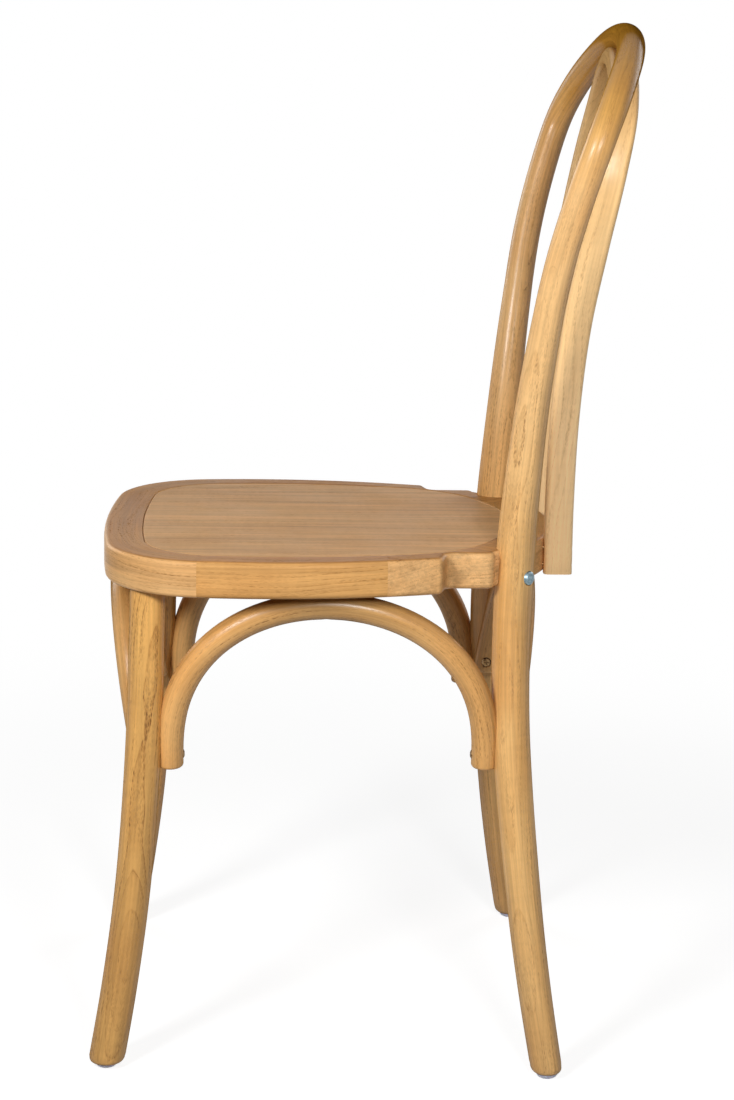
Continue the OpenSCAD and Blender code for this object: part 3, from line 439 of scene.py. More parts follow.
# Fittings: cloudy patches in the colour, and fine scratches or scuffs in the gloss and the surface
plated = dict(
    shader=dict(in_Metallic=1.0), cloud=(420, 3, 0.6), clear=(0.35, 0.65), scratch=(900, 2600, 5200),
    scratchRoughness=0.5, scratchRough=0.25, bump=0.25, deep=0.00005)
zincPlate = dict(plated, bright=(0.26, 0.35, 0.39), dull=(0.14, 0.20, 0.23), roughness=0.26)
yellowPlate = dict(plated, bright=(0.27, 0.17, 0.08), dull=(0.15, 0.085, 0.035), roughness=0.24)
cloudyGlide = dict(
    shader=dict(in_Subsurface_Weight=0.3, in_Subsurface_Scale=0.004, in_IOR=1.49), cloud=(260, 3, 0.5),
    clear=(0.3, 0.7), scratch=(1500, 1500, 300), scratchRoughness=0.7, scratchRough=0.3, bump=0.3,
    deep=0.0001,
    bright=(0.66, 0.65, 0.80), dull=(0.54, 0.53, 0.68), roughness=0.27)


def makeFitting(name, spec):
    material, tree = newMaterial(name)
    place = tree.nodes.new("ShaderNodeTexCoord").outputs["Object"]
    size, detail, roughness = spec["cloud"]
    cloud = noiseOf(tree, place, (size,) * 3, detail, roughness)["Fac"]
    scratch = noiseOf(tree, place, spec["scratch"], 2, spec["scratchRoughness"])["Fac"]
    bump = addNode(
        tree, "ShaderNodeBump", in_Strength=spec["bump"], in_Distance=spec["deep"], in_Height=scratch)
    shader = addNode(
        tree, "ShaderNodeBsdfPrincipled", **spec["shader"], in_Normal=bump.outputs["Normal"],
        in_Base_Color=blendColor(tree, between(tree, cloud, *spec["clear"]), spec["bright"], spec["dull"]),
        in_Roughness=plus(tree, times(tree, scratch, spec["scratchRough"]), spec["roughness"]))
    addNode(tree, "ShaderNodeOutputMaterial", in_Surface=shader.outputs[0])
    arrange(tree)
    return material


zincMaterial = makeFitting("zincPlate", zincPlate)
bronzeMaterial = makeFitting("yellowPlate", yellowPlate)
glideMaterial = makeFitting("cloudyGlide", cloudyGlide)
print("materials made")


# Geometry node trees that bend a rod or a strip along a path of edges
def finishRod(tree, given, result, curve, profile, **scale):
    sweep = addNode(
        tree, "GeometryNodeCurveToMesh", in_Fill_Caps=True, in_Curve=curve, in_Profile_Curve=profile, **scale)
    whole = addNode(tree, "GeometryNodeRealizeInstances", in_Geometry=sweep.outputs["Mesh"])
    dressed = addNode(
        tree, "GeometryNodeSetMaterial", in_Geometry=whole.outputs["Geometry"], in_Material=given["Finish"])
    feed(tree, result[0], dressed.outputs["Geometry"])
    arrange(tree)
    return tree


def makeBentRod():
    tree, given, result = newTree(
        "bentRod", "GeometryNodeTree",
        [("Path", "Geometry", None), ("Sides", "Int", 48), ("Finish", "Material", None)],
        [("Rod", "Geometry")])
    line = addNode(tree, "GeometryNodeMeshToCurve", in_Mesh=given["Path"])
    size = addNode(tree, "GeometryNodeInputNamedAttribute", data_type="FLOAT", in_Name="rodRadius")
    profile = addNode(
        tree, "GeometryNodeCurvePrimitiveCircle", mode="RADIUS", in_Radius=1.0, in_Resolution=given["Sides"])
    return finishRod(
        tree, given, result, line.outputs["Curve"],
        profile.outputs["Curve"], in_Scale=size.outputs["Attribute"])


def makeBentStrip():
    tree, given, result = newTree(
        "bentStrip", "GeometryNodeTree",
        [("Path", "Geometry", None), ("Thickness", "Float", 0.016), ("Depth", "Float", 0.025),
         ("Edge Radius", "Float", 0.0045), ("Edge Steps", "Int", 6), ("Finish", "Material", None)],
        [("Strip", "Geometry")])
    line = addNode(tree, "GeometryNodeMeshToCurve", in_Mesh=given["Path"])
    # The strip's broad face is held by a direction stored on the path
    held = addNode(tree, "GeometryNodeInputNamedAttribute", data_type="FLOAT_VECTOR", in_Name="faceWay")
    aimed = addNode(
        tree, "GeometryNodeSetCurveNormal", mode="FREE", in_Curve=line.outputs["Curve"],
        in_Normal=held.outputs["Attribute"])
    profile = addNode(
        tree, "GeometryNodeCurvePrimitiveQuadrilateral", mode="RECTANGLE", in_Width=given["Thickness"],
        in_Height=given["Depth"])
    rounded = addNode(
        tree, "GeometryNodeFilletCurve", mode="POLY", in_Curve=profile.outputs["Curve"],
        in_Radius=given["Edge Radius"], in_Count=given["Edge Steps"])
    return finishRod(tree, given, result, aimed.outputs["Curve"], rounded.outputs["Curve"])


bentRod = makeBentRod()
bentStrip = makeBentStrip()


def pathObject(name, points, radii=None, ways=None):
    mesh = bpy.data.meshes.new(name)
    mesh.from_pydata([fromMm(p) for p in points], [(i, i + 1) for i in range(len(points) - 1)], [])
    if radii is not None:
        mesh.attributes.new("rodRadius", "FLOAT", "POINT").data.foreach_set("value",
            [r / 1000 for r in radii])
    if ways is not None:
        flat = [float(c) for w in ways for c in w]
        mesh.attributes.new("faceWay", "FLOAT_VECTOR", "POINT").data.foreach_set("vector", flat)
    piece = bpy.data.objects.new(name, mesh)
    bpy.context.collection.objects.link(piece)
    return piece


def settle(piece):
    # The evaluated result becomes the piece's own plain mesh, and its modifiers go
    graph = bpy.context.evaluated_depsgraph_get()
    plain = bpy.data.meshes.new_from_object(
        piece.evaluated_get(graph), preserve_all_data_layers=True, depsgraph=graph)
    piece.modifiers.clear()
    old = piece.data
    piece.data = plain
    bpy.data.meshes.remove(old)


def runTree(piece, tree, **values):
    sockets = {i.name: i.identifier for i in tree.interface.items_tree if getattr(i, "in_out", "") == "INPUT"}
    bend = piece.modifiers.new("bend", "NODES")
    bend.node_group = tree
    for key, value in values.items():
        bend[sockets[key.replace("_", " ")]] = value
    settle(piece)
    for name in ("rodRadius", "faceWay"):
        if name in piece.data.attributes:
            piece.data.attributes.remove(piece.data.attributes[name])
    return piece


def openForm(mesh):
    form = bmesh.new()
    form.from_mesh(mesh)
    return form


def closeForm(form, mesh):
    form.to_mesh(mesh)
    form.free()


def meshObject(name, mesh):
    piece = bpy.data.objects.new(name, mesh)
    bpy.context.collection.objects.link(piece)
    return piece


def formObject(name, form):
    mesh = bpy.data.meshes.new(name)
    closeForm(form, mesh)
    return meshObject(name, mesh)


def tidyNormals(mesh, angle=38):
    # Faces point outwards; edges sharper than the angle stay sharp
    form = openForm(mesh)
    bmesh.ops.remove_doubles(form, verts=form.verts, dist=2e-6)
    bmesh.ops.recalc_face_normals(form, faces=form.faces)
    for face in form.faces:
        face.smooth = True
    for edge in form.edges:
        edge.smooth = len(edge.link_faces) == 2 and edge.calc_face_angle(0) < math.radians(angle)
    closeForm(form, mesh)


def carve(piece, cutters):
    # Takes the cutters out of the piece, one after another
    for cutter in cutters:
        cut = piece.modifiers.new("cut", "BOOLEAN")
        cut.operation = "DIFFERENCE"
        cut.solver = "MANIFOLD"
        cut.object = cutter
    settle(piece)
    for cutter in cutters:
        bpy.data.objects.remove(cutter)


def addCylinder(form, across, long, place, sides=40):
    bmesh.ops.create_cone(
        form, cap_ends=True, segments=sides, radius1=across / 2000, radius2=across / 2000, depth=long / 1000,
        matrix=place)


def boreAt(start, way, across, long):
    # A plain round cutter from start along way, in millimetres
    way = Vector(way).normalized()
    form = bmesh.new()
    turned = Vector((0, 0, 1)).rotation_difference(way).to_matrix().to_4x4()
    addCylinder(form, across, long, Matrix.Translation(fromMm(start) + way * long / 2000) @ turned)
    return formObject("bore", form)


def blockAt(low, high):
    form = bmesh.new()
    bmesh.ops.create_cube(form, size=1)
    lowPoint, highPoint = fromMm(low), fromMm(high)
    for v in form.verts:
        v.co = Vector([mix(lowPoint[i], highPoint[i], v.co[i] + 0.5) for i in range(3)])
    return formObject("block", form)


def layGrain(piece, points, side, shift):
    # Each vertex gets its place in the straight board that the piece was bent from
    path = np.array([tuple(fromMm(p)) for p in points])
    starts, steps = path[:-1], np.diff(path, axis=0)
    lengths = np.linalg.norm(steps, axis=1)
    before = np.concatenate([[0], np.cumsum(lengths)[:-1]])
    ahead = np.gradient(path, axis=0)
    ahead /= np.linalg.norm(ahead, axis=1)[:, None]
    mesh = piece.data
    co = np.empty(len(mesh.vertices) * 3)
    mesh.vertices.foreach_get("co", co)
    co = co.reshape(-1, 3)
    out = np.empty_like(co)
    for first in range(0, len(co), 1500):
        part = co[first:first + 1500]
        away = part[:, None] - starts[None]
        t = np.clip((away * steps[None]).sum(2) / (lengths ** 2)[None], 0, 1)
        gap = np.linalg.norm(away - t[..., None] * steps[None], axis=2)
        best = gap.argmin(1)
        rows = np.arange(len(part))
        share = t[rows, best]
        foot = starts[best] + share[:, None] * steps[best]
        way = ahead[best] * (1 - share)[:, None] + ahead[best + 1] * share[:, None]
        way /= np.linalg.norm(way, axis=1)[:, None]
        across = np.cross(np.array(side, float)[None], way)
        across /= np.linalg.norm(across, axis=1)[:, None]
        third = np.cross(way, across)
        rel = part - foot
        along = before[best] + share * lengths[best] + (rel * way).sum(1)
        out[first:first + 1500] = np.stack([(rel * across).sum(1), (rel * third).sum(1), along], 1)
    out += np.array(shift)
    mesh.attributes.new("grain", "FLOAT_VECTOR", "POINT").data.foreach_set("vector", out.ravel())


def laySawnGrain(piece, along, across, shift):
    # The same for a piece sawn straight from a board
    along, across = Vector(along).normalized(), Vector(across).normalized()
    third = along.cross(across)
    mesh = piece.data
    co = np.empty(len(mesh.vertices) * 3)
    mesh.vertices.foreach_get("co", co)
    axes = np.array([tuple(across), tuple(third), tuple(along)])
    out = co.reshape(-1, 3) @ axes.T + np.array(shift)
    mesh.attributes.new("grain", "FLOAT_VECTOR", "POINT").data.foreach_set("vector", out.ravel())


def dress(piece, material, node):
    # Last step for a piece: its finish, the body it goes with, and the part it stands for
    piece.data.materials.clear()
    piece.data.materials.append(material)
    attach(piece, "root")
    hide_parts(node)


def evenShading(piece):
    weigh = piece.modifiers.new("weigh", "WEIGHTED_NORMAL")
    weigh.mode = "FACE_AREA"
    weigh.keep_sharp = True
    weigh.weight = 50
    settle(piece)


def quarter(steps):
    # Sine and cosine at even steps through a quarter turn
    turns = [math.radians(90 * k / steps) for k in range(steps + 1)]
    return [(math.sin(a), math.cos(a)) for a in turns]


print("helpers ready")


# Outer hoop: rear legs and bow in one rod
def lean(t):
    return legY + hoop["crownBack"] * t


def hoopKnots():
    crown = hoop["height"] - hoop["bowSize"] / 2
    bow = crown - hoop["bowRise"]
    spread = hoop["footWidth"] / 2 - waistX
    wider = hoop["bowWidth"] / 2 - waistX
    over = bow - seat["top"]
    top = seat["top"]
    back = hoop["footBack"]
    half = [
        (waistX + spread, legY + back, 0),
        (waistX + spread * 0.79, legY + back * 0.63, top * 0.167),
        (waistX + spread * 0.58, legY + back * 0.34, top * 0.333),
        (waistX + spread * 0.22, legY - 1.5, top * 0.667),
        (waistX, legY, top * 0.96),
        (waistX + wider * 0.02, lean(0.08), top + over * 0.27),
        (waistX + wider * 0.26, lean(0.165), top + over * 0.5),
        (waistX + wider * 0.66, lean(0.29), top + over * 0.74),
        (waistX + wider * 0.93, lean(0.445), top + over * 0.92),
        (waistX + wider, lean(0.6), bow + hoop["bowRise"] * 0.2),
        ((waistX + wider) * 0.875, lean(0.745), bow + hoop["bowRise"] * 0.53),
        ((waistX + wider) * 0.52, lean(0.93), bow + hoop["bowRise"] * 0.875),
        (0, lean(1), crown)]
    return half, over, bow


hoopHalf, overSeat, bowHeight = hoopKnots()
hoopPath = smoothThrough(hoopHalf + flipped(hoopHalf)[1:], hoop["steps"])
hoopRise = hoopPath[:(len(hoopHalf) - 1) * hoop["steps"] + 1]


def hoopRadius(z):
    bowRadius = hoop["bowSize"] / 2
    heights = [0, seat["top"] * 0.55, seat["top"], seat["top"] + overSeat * 0.6, bowHeight, hoop["height"]]
    sizes = [
        hoop["footSize"] / 2, hoop["seatSize"] / 2 - hoop["lowerThinner"], hoop["seatSize"] / 2,
        bowRadius + hoop["bowThicker"], bowRadius, bowRadius]
    return float(np.interp(z, heights, sizes))


def levelFoot(piece, path, size):
    # Cuts the rod's ends off level and rounds them down to the glide's top
    base, drop = glideHeight / 1000, hoop["footRound"] / 1000
    form = openForm(piece.data)
    groups = {}
    for edge in cutLevel(form, base + drop, 1):
        groups.setdefault(edge.verts[0].co.x > 0, []).append(edge)
    for onLeft, current in groups.items():
        for k, (sinA, cosA) in enumerate(quarter(7)):
            if k:
                made = bmesh.ops.extrude_edge_only(form, edges=current)["geom"]
                current = [g for g in made if isinstance(g, bmesh.types.BMEdge)]
            z = base + drop * (1 - sinA)
            middle = fromMm(atHeight(path, z * 1000))
            middle.x = abs(middle.x) * (1 if onLeft else -1)
            spread = (size - 2 * hoop["footThinner"]) / 2000 - drop * (1 - cosA)
            for v in {v for e in current for v in e.verts}:
                way = Vector((v.co.x - middle.x, v.co.y - middle.y)).normalized()
                v.co = (middle.x + way.x * spread, middle.y + way.y * spread, z)
        bmesh.ops.edgeloop_fill(form, edges=current)
    closeForm(form, piece.data)


def legCutter(path, radius, low, high, room=0.3):
    # The stretch of a leg between two heights, with room round it
    heights = np.linspace(low, high, 7)
    points = [atHeight(path, z) for z in heights]
    cutter = pathObject("legCutter", points, [radius(z) + room for z in heights])
    return runTree(cutter, bentRod, Sides=hoop["sides"])


# Front legs: their path is needed by the arches too
frontLeg = dict(
    footWidth=380, topWidth=294, size=31, forward=35, setBack=44, sides=52, tenon=20, tenonLong=19,
    tenonRoot=5,
    pastTop=14, pastFoot=30)
frontX = frontLeg["topWidth"] / 2
frontY = seat["front"] + frontLeg["setBack"]
frontSpread = (frontLeg["footWidth"] - frontLeg["topWidth"]) / 2
frontLegKnots = [
    (frontX + frontSpread * out, frontY - frontLeg["forward"] * ahead, frameBase * up)
    for out, ahead, up in ((1, 1, 0), (0.72, 0.66, 0.17), (0.45, 0.34, 0.38), (0.2, 0.1, 0.67), (0, 0, 1))]
frontLegPath = smoothThrough(frontLegKnots, 20)

# Arches: where each one stands between its legs
arch = dict(
    size=23.5, let=3.5, sideFoot=260, frontFoot=267, rearFoot=277, spring=13, endRound=3, turns=64,
    sides=40,
    sideLean=0.095, sideInset=7, sideFullness=0.86, sideAhead=3, frontSlope=-0.165, rearSlope=0.15,
    rearAhead=4,
    cutUnder=6, cutOver=72)
archRadius = arch["size"] / 2
archTop = frameBase - archRadius - hair
frontLegRadius = frontLeg["size"] / 2
sideStart = atHeight(frontLegPath, arch["sideFoot"])
sideEnd = atHeight(hoopRise, arch["sideFoot"])
sideY1 = sideStart[1] + frontLegRadius + archRadius - arch["let"]
sideY2 = sideEnd[1] - hoopRadius(arch["sideFoot"]) - archRadius + arch["let"]
screws = dict(endUp=11, headSink=2, hiddenSink=3.4, bore=10, boreLong=11, innerLow=8, innerUnder=9)


def sideArchPoint(y, z):
    t = (y - sideStart[1]) / (sideEnd[1] - sideStart[1])
    x = mix(sideStart[0], sideEnd[0], t) - arch["sideInset"] + arch["sideLean"] * (z - arch["sideFoot"])
    return (x, y, z)


def archRun(first, last, foot, place, fullness=1.0, ahead=0.0):
    # Rounded ends, a short straight spring, then half an ellipse, with fuller shoulders where asked
    rounding = arch["endRound"]
    ends = [(foot + rounding * (1 - cosA), archRadius - rounding * (1 - sinA)) for sinA, cosA in quarter(5)]
    spring = foot + arch["spring"]
    middle, half = (first + last) / 2, (last - first) / 2
    points = [place(first, z) for z, _ in ends]
    for k in range(arch["turns"] + 1):
        a = math.pi * k / arch["turns"]
        up = max(math.sin(a), 0)
        points.append(place(
            middle - half * math.cos(a) - ahead * up ** 2, spring + (archTop - spring) * up ** fullness))
    points += [place(last, z) for z, _ in reversed(ends)]
    radii = [r for _, r in ends]
    return points, radii + [archRadius] * (arch["turns"] + 1) + radii[::-1]


def crossPlace(y, slope, foot):
    return lambda x, z: (x, y + slope * (z - foot), z)


frontArchLeg = atHeight(frontLegPath, arch["frontFoot"])
rearArchLeg = atHeight(hoopRise, arch["rearFoot"])
frontArchX = frontArchLeg[0] - frontLegRadius - archRadius + arch["let"]
rearArchX = rearArchLeg[0] - hoopRadius(arch["rearFoot"]) - archRadius + arch["let"]


def headBore(start, way):
    # The flat-bottomed bore that a screw's head sits in; the way is the screw's own
    way = Vector(way).normalized()
    return boreAt(Vector(start) - way * screws["boreLong"], way, screws["bore"], screws["boreLong"])


def endBore(point, out):
    up = Vector((0, 0, screws["endUp"]))
    return headBore(Vector(point) + up - Vector(out) * (archRadius - screws["headSink"]), out)


def topBore(point):
    return headBore(Vector(point) - Vector((0, 0, archRadius - screws["hiddenSink"])), (0, 0, 1))


def pastEnd(end, before, reach):
    # A point on from the end of a path, straight away from an earlier one
    return end + (end - before) / np.linalg.norm(end - before) * reach


def mirrorPiece(source, name):
    mesh = source.data.copy()
    form = openForm(mesh)
    for v in form.verts:
        v.co.x = -v.co.x
    bmesh.ops.reverse_faces(form, faces=form.faces)
    closeForm(form, mesh)
    return meshObject(name, mesh)


def mirroredPath(path):
    return [np.array((-p[0], p[1], p[2])) for p in path]


def cutLevel(form, height, keep):
    # Keeps what is over the height, or under it where keep is -1, and gives the open rims
    everything = list(form.verts) + list(form.edges) + list(form.faces)
    bmesh.ops.bisect_plane(
        form, geom=everything, plane_co=(0, 0, height), plane_no=(0, 0, keep), clear_inner=True, dist=1e-6)
    return [e for e in form.edges if len(e.link_faces) == 1]


# Outer hoop
hoopBolt = dict(across=12.5, height=frameBase + 8.5, room=0.8, deep=0.8, long=12)


def makeHoop():
    first = pastEnd(hoopPath[0], hoopPath[4], hoop["pastFoot"])
    points = [first] + hoopPath + mirroredPath([first])
    piece = pathObject("outerHoop", points, [hoopRadius(max(p[2], 0)) for p in points])
    runTree(piece, bentRod, Sides=hoop["sides"], Finish=hoopMaterial)
    levelFoot(piece, hoopRise, hoop["footSize"])
    tidyNormals(piece.data)
    cutters = []
    at = atHeight(hoopRise, hoopBolt["height"])
    for s in (1, -1):
        way = Vector((s, 1, 0)).normalized()
        start = Vector((s * at[0], at[1], at[2])) + way * (hoop["seatSize"] / 2 - hoopBolt["deep"])
        cutters.append(boreAt(start, way, hoopBolt["across"] + hoopBolt["room"], hoopBolt["long"]))
    carve(piece, cutters)
    tidyNormals(piece.data)
    layGrain(piece, points, (0, 1, 0), (0.036, -0.016, 0.4))
    dress(piece, hoopMaterial, "back_hoop")


makeHoop()
print("outer hoop bent")


# Inner hoop: a flatter strip, its feet on the rear rail and its crown under the outer hoop's
strip = dict(
    footWidth=152, bowWidth=198, thick=16, deep=25, crownLean=18, edge=4.5, steps=14, seatIn=13.5, room=0.1,
    past=4, behind=20)
stripY = seatRear - strip["seatIn"] + strip["deep"] / 2


def stripKnots():
    drop = hoop["bowSize"] / 2 + strip["thick"] / 2 + hair
    tilt = math.radians(strip["crownLean"])
    crown = (0, lean(1) - drop * math.sin(tilt), hoop["height"] - hoop["bowSize"] / 2 - drop * math.cos(tilt))
    footX, wideX = strip["footWidth"] / 2, strip["bowWidth"] / 2
    bow = crown[2] - wideX
    back = crown[1] - stripY
    over = bow - frameBase
    half = [
        (footX, stripY, frameBase), (footX, stripY, frameBase + over * 0.18),
        (mix(footX, wideX, 0.13), stripY + back * 0.05, frameBase + over * 0.41),
        (mix(footX, wideX, 0.44), stripY + back * 0.2, frameBase + over * 0.64),
        (mix(footX, wideX, 0.8), stripY + back * 0.44, frameBase + over * 0.83),
        (wideX, stripY + back * 0.72, bow + wideX * 0.08),
        (wideX * 0.87, stripY + back * 0.9, bow + wideX * 0.52),
        (wideX * 0.5, stripY + back * 0.985, bow + wideX * 0.872), crown]
    return half, bow, wideX


def makeInnerHoop():
    half, bow, wideX = stripKnots()
    points = smoothThrough(half + flipped(half)[1:], strip["steps"])
    ways = []
    heading = np.gradient(np.array(points), axis=0)
    for p, t in zip(points, heading):
        tilt = math.radians(strip["crownLean"] * max(0, p[2] - bow + wideX) / (2 * wideX))
        side = Vector((0, math.cos(tilt), -math.sin(tilt)))
        ways.append(side.cross(Vector(t)).normalized())
    piece = pathObject("innerHoop", points, ways=ways)
    runTree(piece, bentStrip, Thickness=strip["thick"] / 1000, Depth=strip["deep"] / 1000,
            Edge_Radius=strip["edge"] / 1000, Edge_Steps=6, Finish=stripMaterial)
    tidyNormals(piece.data)
    cutters = []
    for s in (1, -1):
        for up in (screws["innerLow"], seat["thick"] - screws["innerUnder"]):
            start = (
                s * strip["footWidth"] / 2, stripY + strip["deep"] / 2 - screws["hiddenSink"], frameBase + up)
            cutters.append(headBore(start, (0, -1, 0)))
    tilt = math.radians(strip["crownLean"])
    axis = Vector((0, math.sin(tilt), math.cos(tilt)))
    cutters.append(headBore(Vector(half[-1]) - axis * (strip["thick"] / 2 - screws["hiddenSink"]), axis))
    carve(piece, cutters)
    tidyNormals(piece.data)
    layGrain(piece, points, (0, 1, 0), (0.03, 0.034, 3.1))
    dress(piece, stripMaterial, "inner_hoop")


makeInnerHoop()
print("inner hoop bent")


# Front legs
def makeFrontLegs():
    upper = pastEnd(frontLegPath[-1], frontLegPath[-2], frontLeg["pastTop"])
    lower = pastEnd(frontLegPath[0], frontLegPath[2], frontLeg["pastFoot"])
    points = [lower] + frontLegPath + [upper]
    piece = pathObject("frontLegLeft", points, [frontLegRadius] * len(points))
    runTree(piece, bentRod, Sides=frontLeg["sides"], Finish=legMaterial)
    levelFoot(piece, frontLegPath, frontLeg["size"])
    form = openForm(piece.data)
    rim = cutLevel(form, (frameBase - hair) / 1000, -1)
    bmesh.ops.edgeloop_fill(form, edges=rim)
    root, long = frontLeg["tenonRoot"], frontLeg["tenonLong"] + frontLeg["tenonRoot"]
    middle = fromMm((frontX, frontY, frameBase - root + long / 2))
    addCylinder(form, frontLeg["tenon"], long, Matrix.Translation(middle))
    closeForm(form, piece.data)
    tidyNormals(piece.data)
    right = mirrorPiece(piece, "frontLegRight")
    layGrain(piece, points, (0, 1, 0), (0.033, 0.009, 5.9))
    layGrain(right, mirroredPath(points), (0, 1, 0), (-0.03, 0.026, 7.2))
    dress(piece, legMaterial, "front_leg_left")
    dress(right, legMaterial, "front_leg_right")


makeFrontLegs()
print("front legs bent")


# Arches
def makeArch(name, node, run, legs, outward, side, shift):
    # The legs are (path, radius) pairs; outward is the way of the first end's screw
    points, radii = run
    piece = pathObject(name, points, radii)
    runTree(piece, bentRod, Sides=arch["sides"], Finish=archMaterial)
    tidyNormals(piece.data)
    foot = points[0][2]
    cutters = [
        legCutter(path, radius, foot - arch["cutUnder"], foot + arch["cutOver"]) for path, radius in legs]
    top = max(points, key=lambda p: p[2])
    cutters += [endBore(points[0], outward), endBore(points[-1], [-c for c in outward]), topBore(top)]
    carve(piece, cutters)
    tidyNormals(piece.data)
    layGrain(piece, points, side, shift)
    dress(piece, archMaterial, node)


def plainRadius(z):
    return frontLegRadius


def makeArches():
    for s, word, shift in ((1, "Left", (0.034, 0.014, 9.0)), (-1, "Right", (0.02, -0.038, 10.5))):
        points, radii = archRun(
            sideY1, sideY2, arch["sideFoot"], sideArchPoint, arch["sideFullness"], arch["sideAhead"])
        points = [(s * p[0], p[1], p[2]) for p in points]
        frontPath, rearPath = (
            path if s > 0 else mirroredPath(path) for path in (frontLegPath, hoopRise))
        legs = [(frontPath, plainRadius), (rearPath, hoopRadius)]
        makeArch(
            "sideArch" + word, "side_arch_" + word.lower(), (points, radii), legs,
            (0, -1, 0), (1, 0, 0), shift)
    rows = (
        ("frontArch", "front_arch", frontArchX, frontArchLeg[1], "front", frontLegPath, plainRadius,
         (0.03, 0.02, 12.2)),
        ("rearArch", "rear_arch", rearArchX, rearArchLeg[1] - arch["rearAhead"], "rear", hoopRise, hoopRadius,
         (-0.018, 0.036, 13.7)))
    for name, node, x, y, word, leg, radius, shift in rows:
        foot = arch[word + "Foot"]
        run = archRun(x, -x, foot, crossPlace(y, arch[word + "Slope"], foot))
        legs = [(leg, radius), (mirroredPath(leg), radius)]
        makeArch(name, node, run, legs, (1, 0, 0), (0, 1, 0), shift)


makeArches()
print("arches bent")


# Seat outline, the same arcs as the plan
def onCircle(c, r, a):
    a = math.radians(a)
    return (c[0] + r * math.cos(a), c[1] + r * math.sin(a))


def arcPoints(c, r, start, end, steps):
    return [onCircle(c, r, mix(start, end, i / steps)) for i in range(steps + 1)]


def angleOf(a, b):
    return math.degrees(math.atan2(b[1] - a[1], b[0] - a[0]))


def circlesMeet(c1, r1, c2, r2):
    dx, dy = c2[0] - c1[0], c2[1] - c1[1]
    d = math.hypot(dx, dy)
    along = (d * d + r1 * r1 - r2 * r2) / (2 * d)
    off = math.sqrt(r1 * r1 - along * along)
    return (c1[0] + dx / d * along - dy / d * off, c1[1] + dy / d * along + dx / d * off)


def cornerMiddle(front, half, widest, small):
    return circlesMeet(
        (0, front + seat["frontBow"]), seat["frontBow"] - small,
        (half - seat["sideBow"], widest), seat["sideBow"] - small)


def arcSide(centre, across):
    # The angle at which a circle's radius reaches a distance across its middle
    return math.degrees(math.asin(across / centre))


def makeOutline():
    plan = {}
    halfW = seat["width"] / 2
    sideR, frontR, rearR = seat["sideBow"], seat["frontBow"], seat["rearBow"]
    front, sideC = (0, seat["front"] + frontR), (halfW - sideR, seat["widest"])
    corner = cornerMiddle(seat["front"], halfW, seat["widest"], seat["corner"])
    frontEnd, sideBegin = angleOf(front, corner), angleOf(sideC, corner)
    sideJoint = arcSide(sideR, seat["sideJoint"] - seat["widest"])
    sideStop = arcSide(sideR, seat["front"] + seat["notchBack"] - seat["widest"])
    turn, notchR = seat["notchTurn"], seat["notchRound"]
    coveR, flankR = seat["coveRound"], seat["flankRound"]
    start = onCircle(sideC, sideR, sideStop)
    flankX = start[0] - seat["notchIn"]
    cosT, sinT = math.cos(math.radians(turn)), math.sin(math.radians(turn))
    slope = (seat["notchIn"] - (notchR + coveR) * (1 - cosT)) / sinT
    notchArc = arcPoints((start[0] - notchR, start[1]), notchR, 0, turn, 8)
    slopeEnd = (notchArc[-1][0] - slope * sinT, notchArc[-1][1] + slope * cosT)
    coveArc = arcPoints((slopeEnd[0] + coveR * cosT, slopeEnd[1] + coveR * sinT), coveR, 180 + turn, 180, 10)
    flankY = legY - hoop["seatSize"] / 2 - seat["flankRoom"]
    flankArc = arcPoints((flankX - flankR, flankY), flankR, 0, 90, 10)
    slant = (waistX + hoop["seatSize"] / 2 - seat["slantIn"], flankY + flankR)
    jointX = waistX - hoop["seatSize"] / 2 - seat["jointIn"]
    rearC = (0, seatRear - rearR)
    joint = onCircle(rearC, rearR, math.degrees(math.acos(jointX / rearR)))
    plan["front"] = (
        arcPoints(front, frontR, -90, frontEnd, 14)
        + arcPoints(corner, seat["corner"], frontEnd, sideBegin, 36)[1:])
    plan["side"] = arcPoints(sideC, sideR, sideBegin, sideJoint, 24)
    plan["block"] = (
        arcPoints(sideC, sideR, sideJoint, sideStop, 5) + notchArc[1:] + coveArc + flankArc
        + [(mix(slant[0], joint[0], k / 5), mix(slant[1], joint[1], k / 5)) for k in range(6)])
    plan["rear"] = arcPoints(rearC, rearR, angleOf(rearC, joint), 90, 20)

    innerW, innerWide, innerCorner = halfW - seat["railSide"], seat["innerWidest"], seat["innerCorner"]
    innerFront = seat["front"] + seat["railFront"]
    rearIn, turnR = seat["innerRear"], seat["innerTurn"]
    innerFrontC, innerSideC = (0, innerFront + frontR), (innerW - sideR, innerWide)
    innerCornerC = cornerMiddle(innerFront, innerW, innerWide, innerCorner)
    a1, a2 = angleOf(innerFrontC, innerCornerC), angleOf(innerSideC, innerCornerC)
    innerRearC = (0, seatRear - seat["railRear"] - rearIn)
    innerTurnC = circlesMeet(innerSideC, sideR - turnR, innerRearC, rearIn - turnR)
    b1, b2 = angleOf(innerSideC, innerTurnC), angleOf(innerRearC, innerTurnC)
    innerJoint = arcSide(sideR, seat["sideJoint"] - innerWide)
    rearJoint = math.degrees(math.acos((waistX - hoop["seatSize"] / 2 - seat["innerJointIn"]) / rearIn))
    plan["innerFront"] = (
        arcPoints(innerFrontC, frontR, -90, a1, 14) + arcPoints(innerCornerC, innerCorner, a1, a2, 36)[1:])
    plan["innerSide"] = arcPoints(innerSideC, sideR, a2, innerJoint, 24)
    plan["innerBlock"] = (
        arcPoints(innerSideC, sideR, innerJoint, b1, 4) + arcPoints(innerTurnC, turnR, b1, b2, 36)[1:]
        + arcPoints(innerRearC, rearIn, b2, rearJoint, 12)[1:])
    plan["innerRear"] = arcPoints(innerRearC, rearIn, rearJoint, 90, 20)
    return plan


outline = makeOutline()


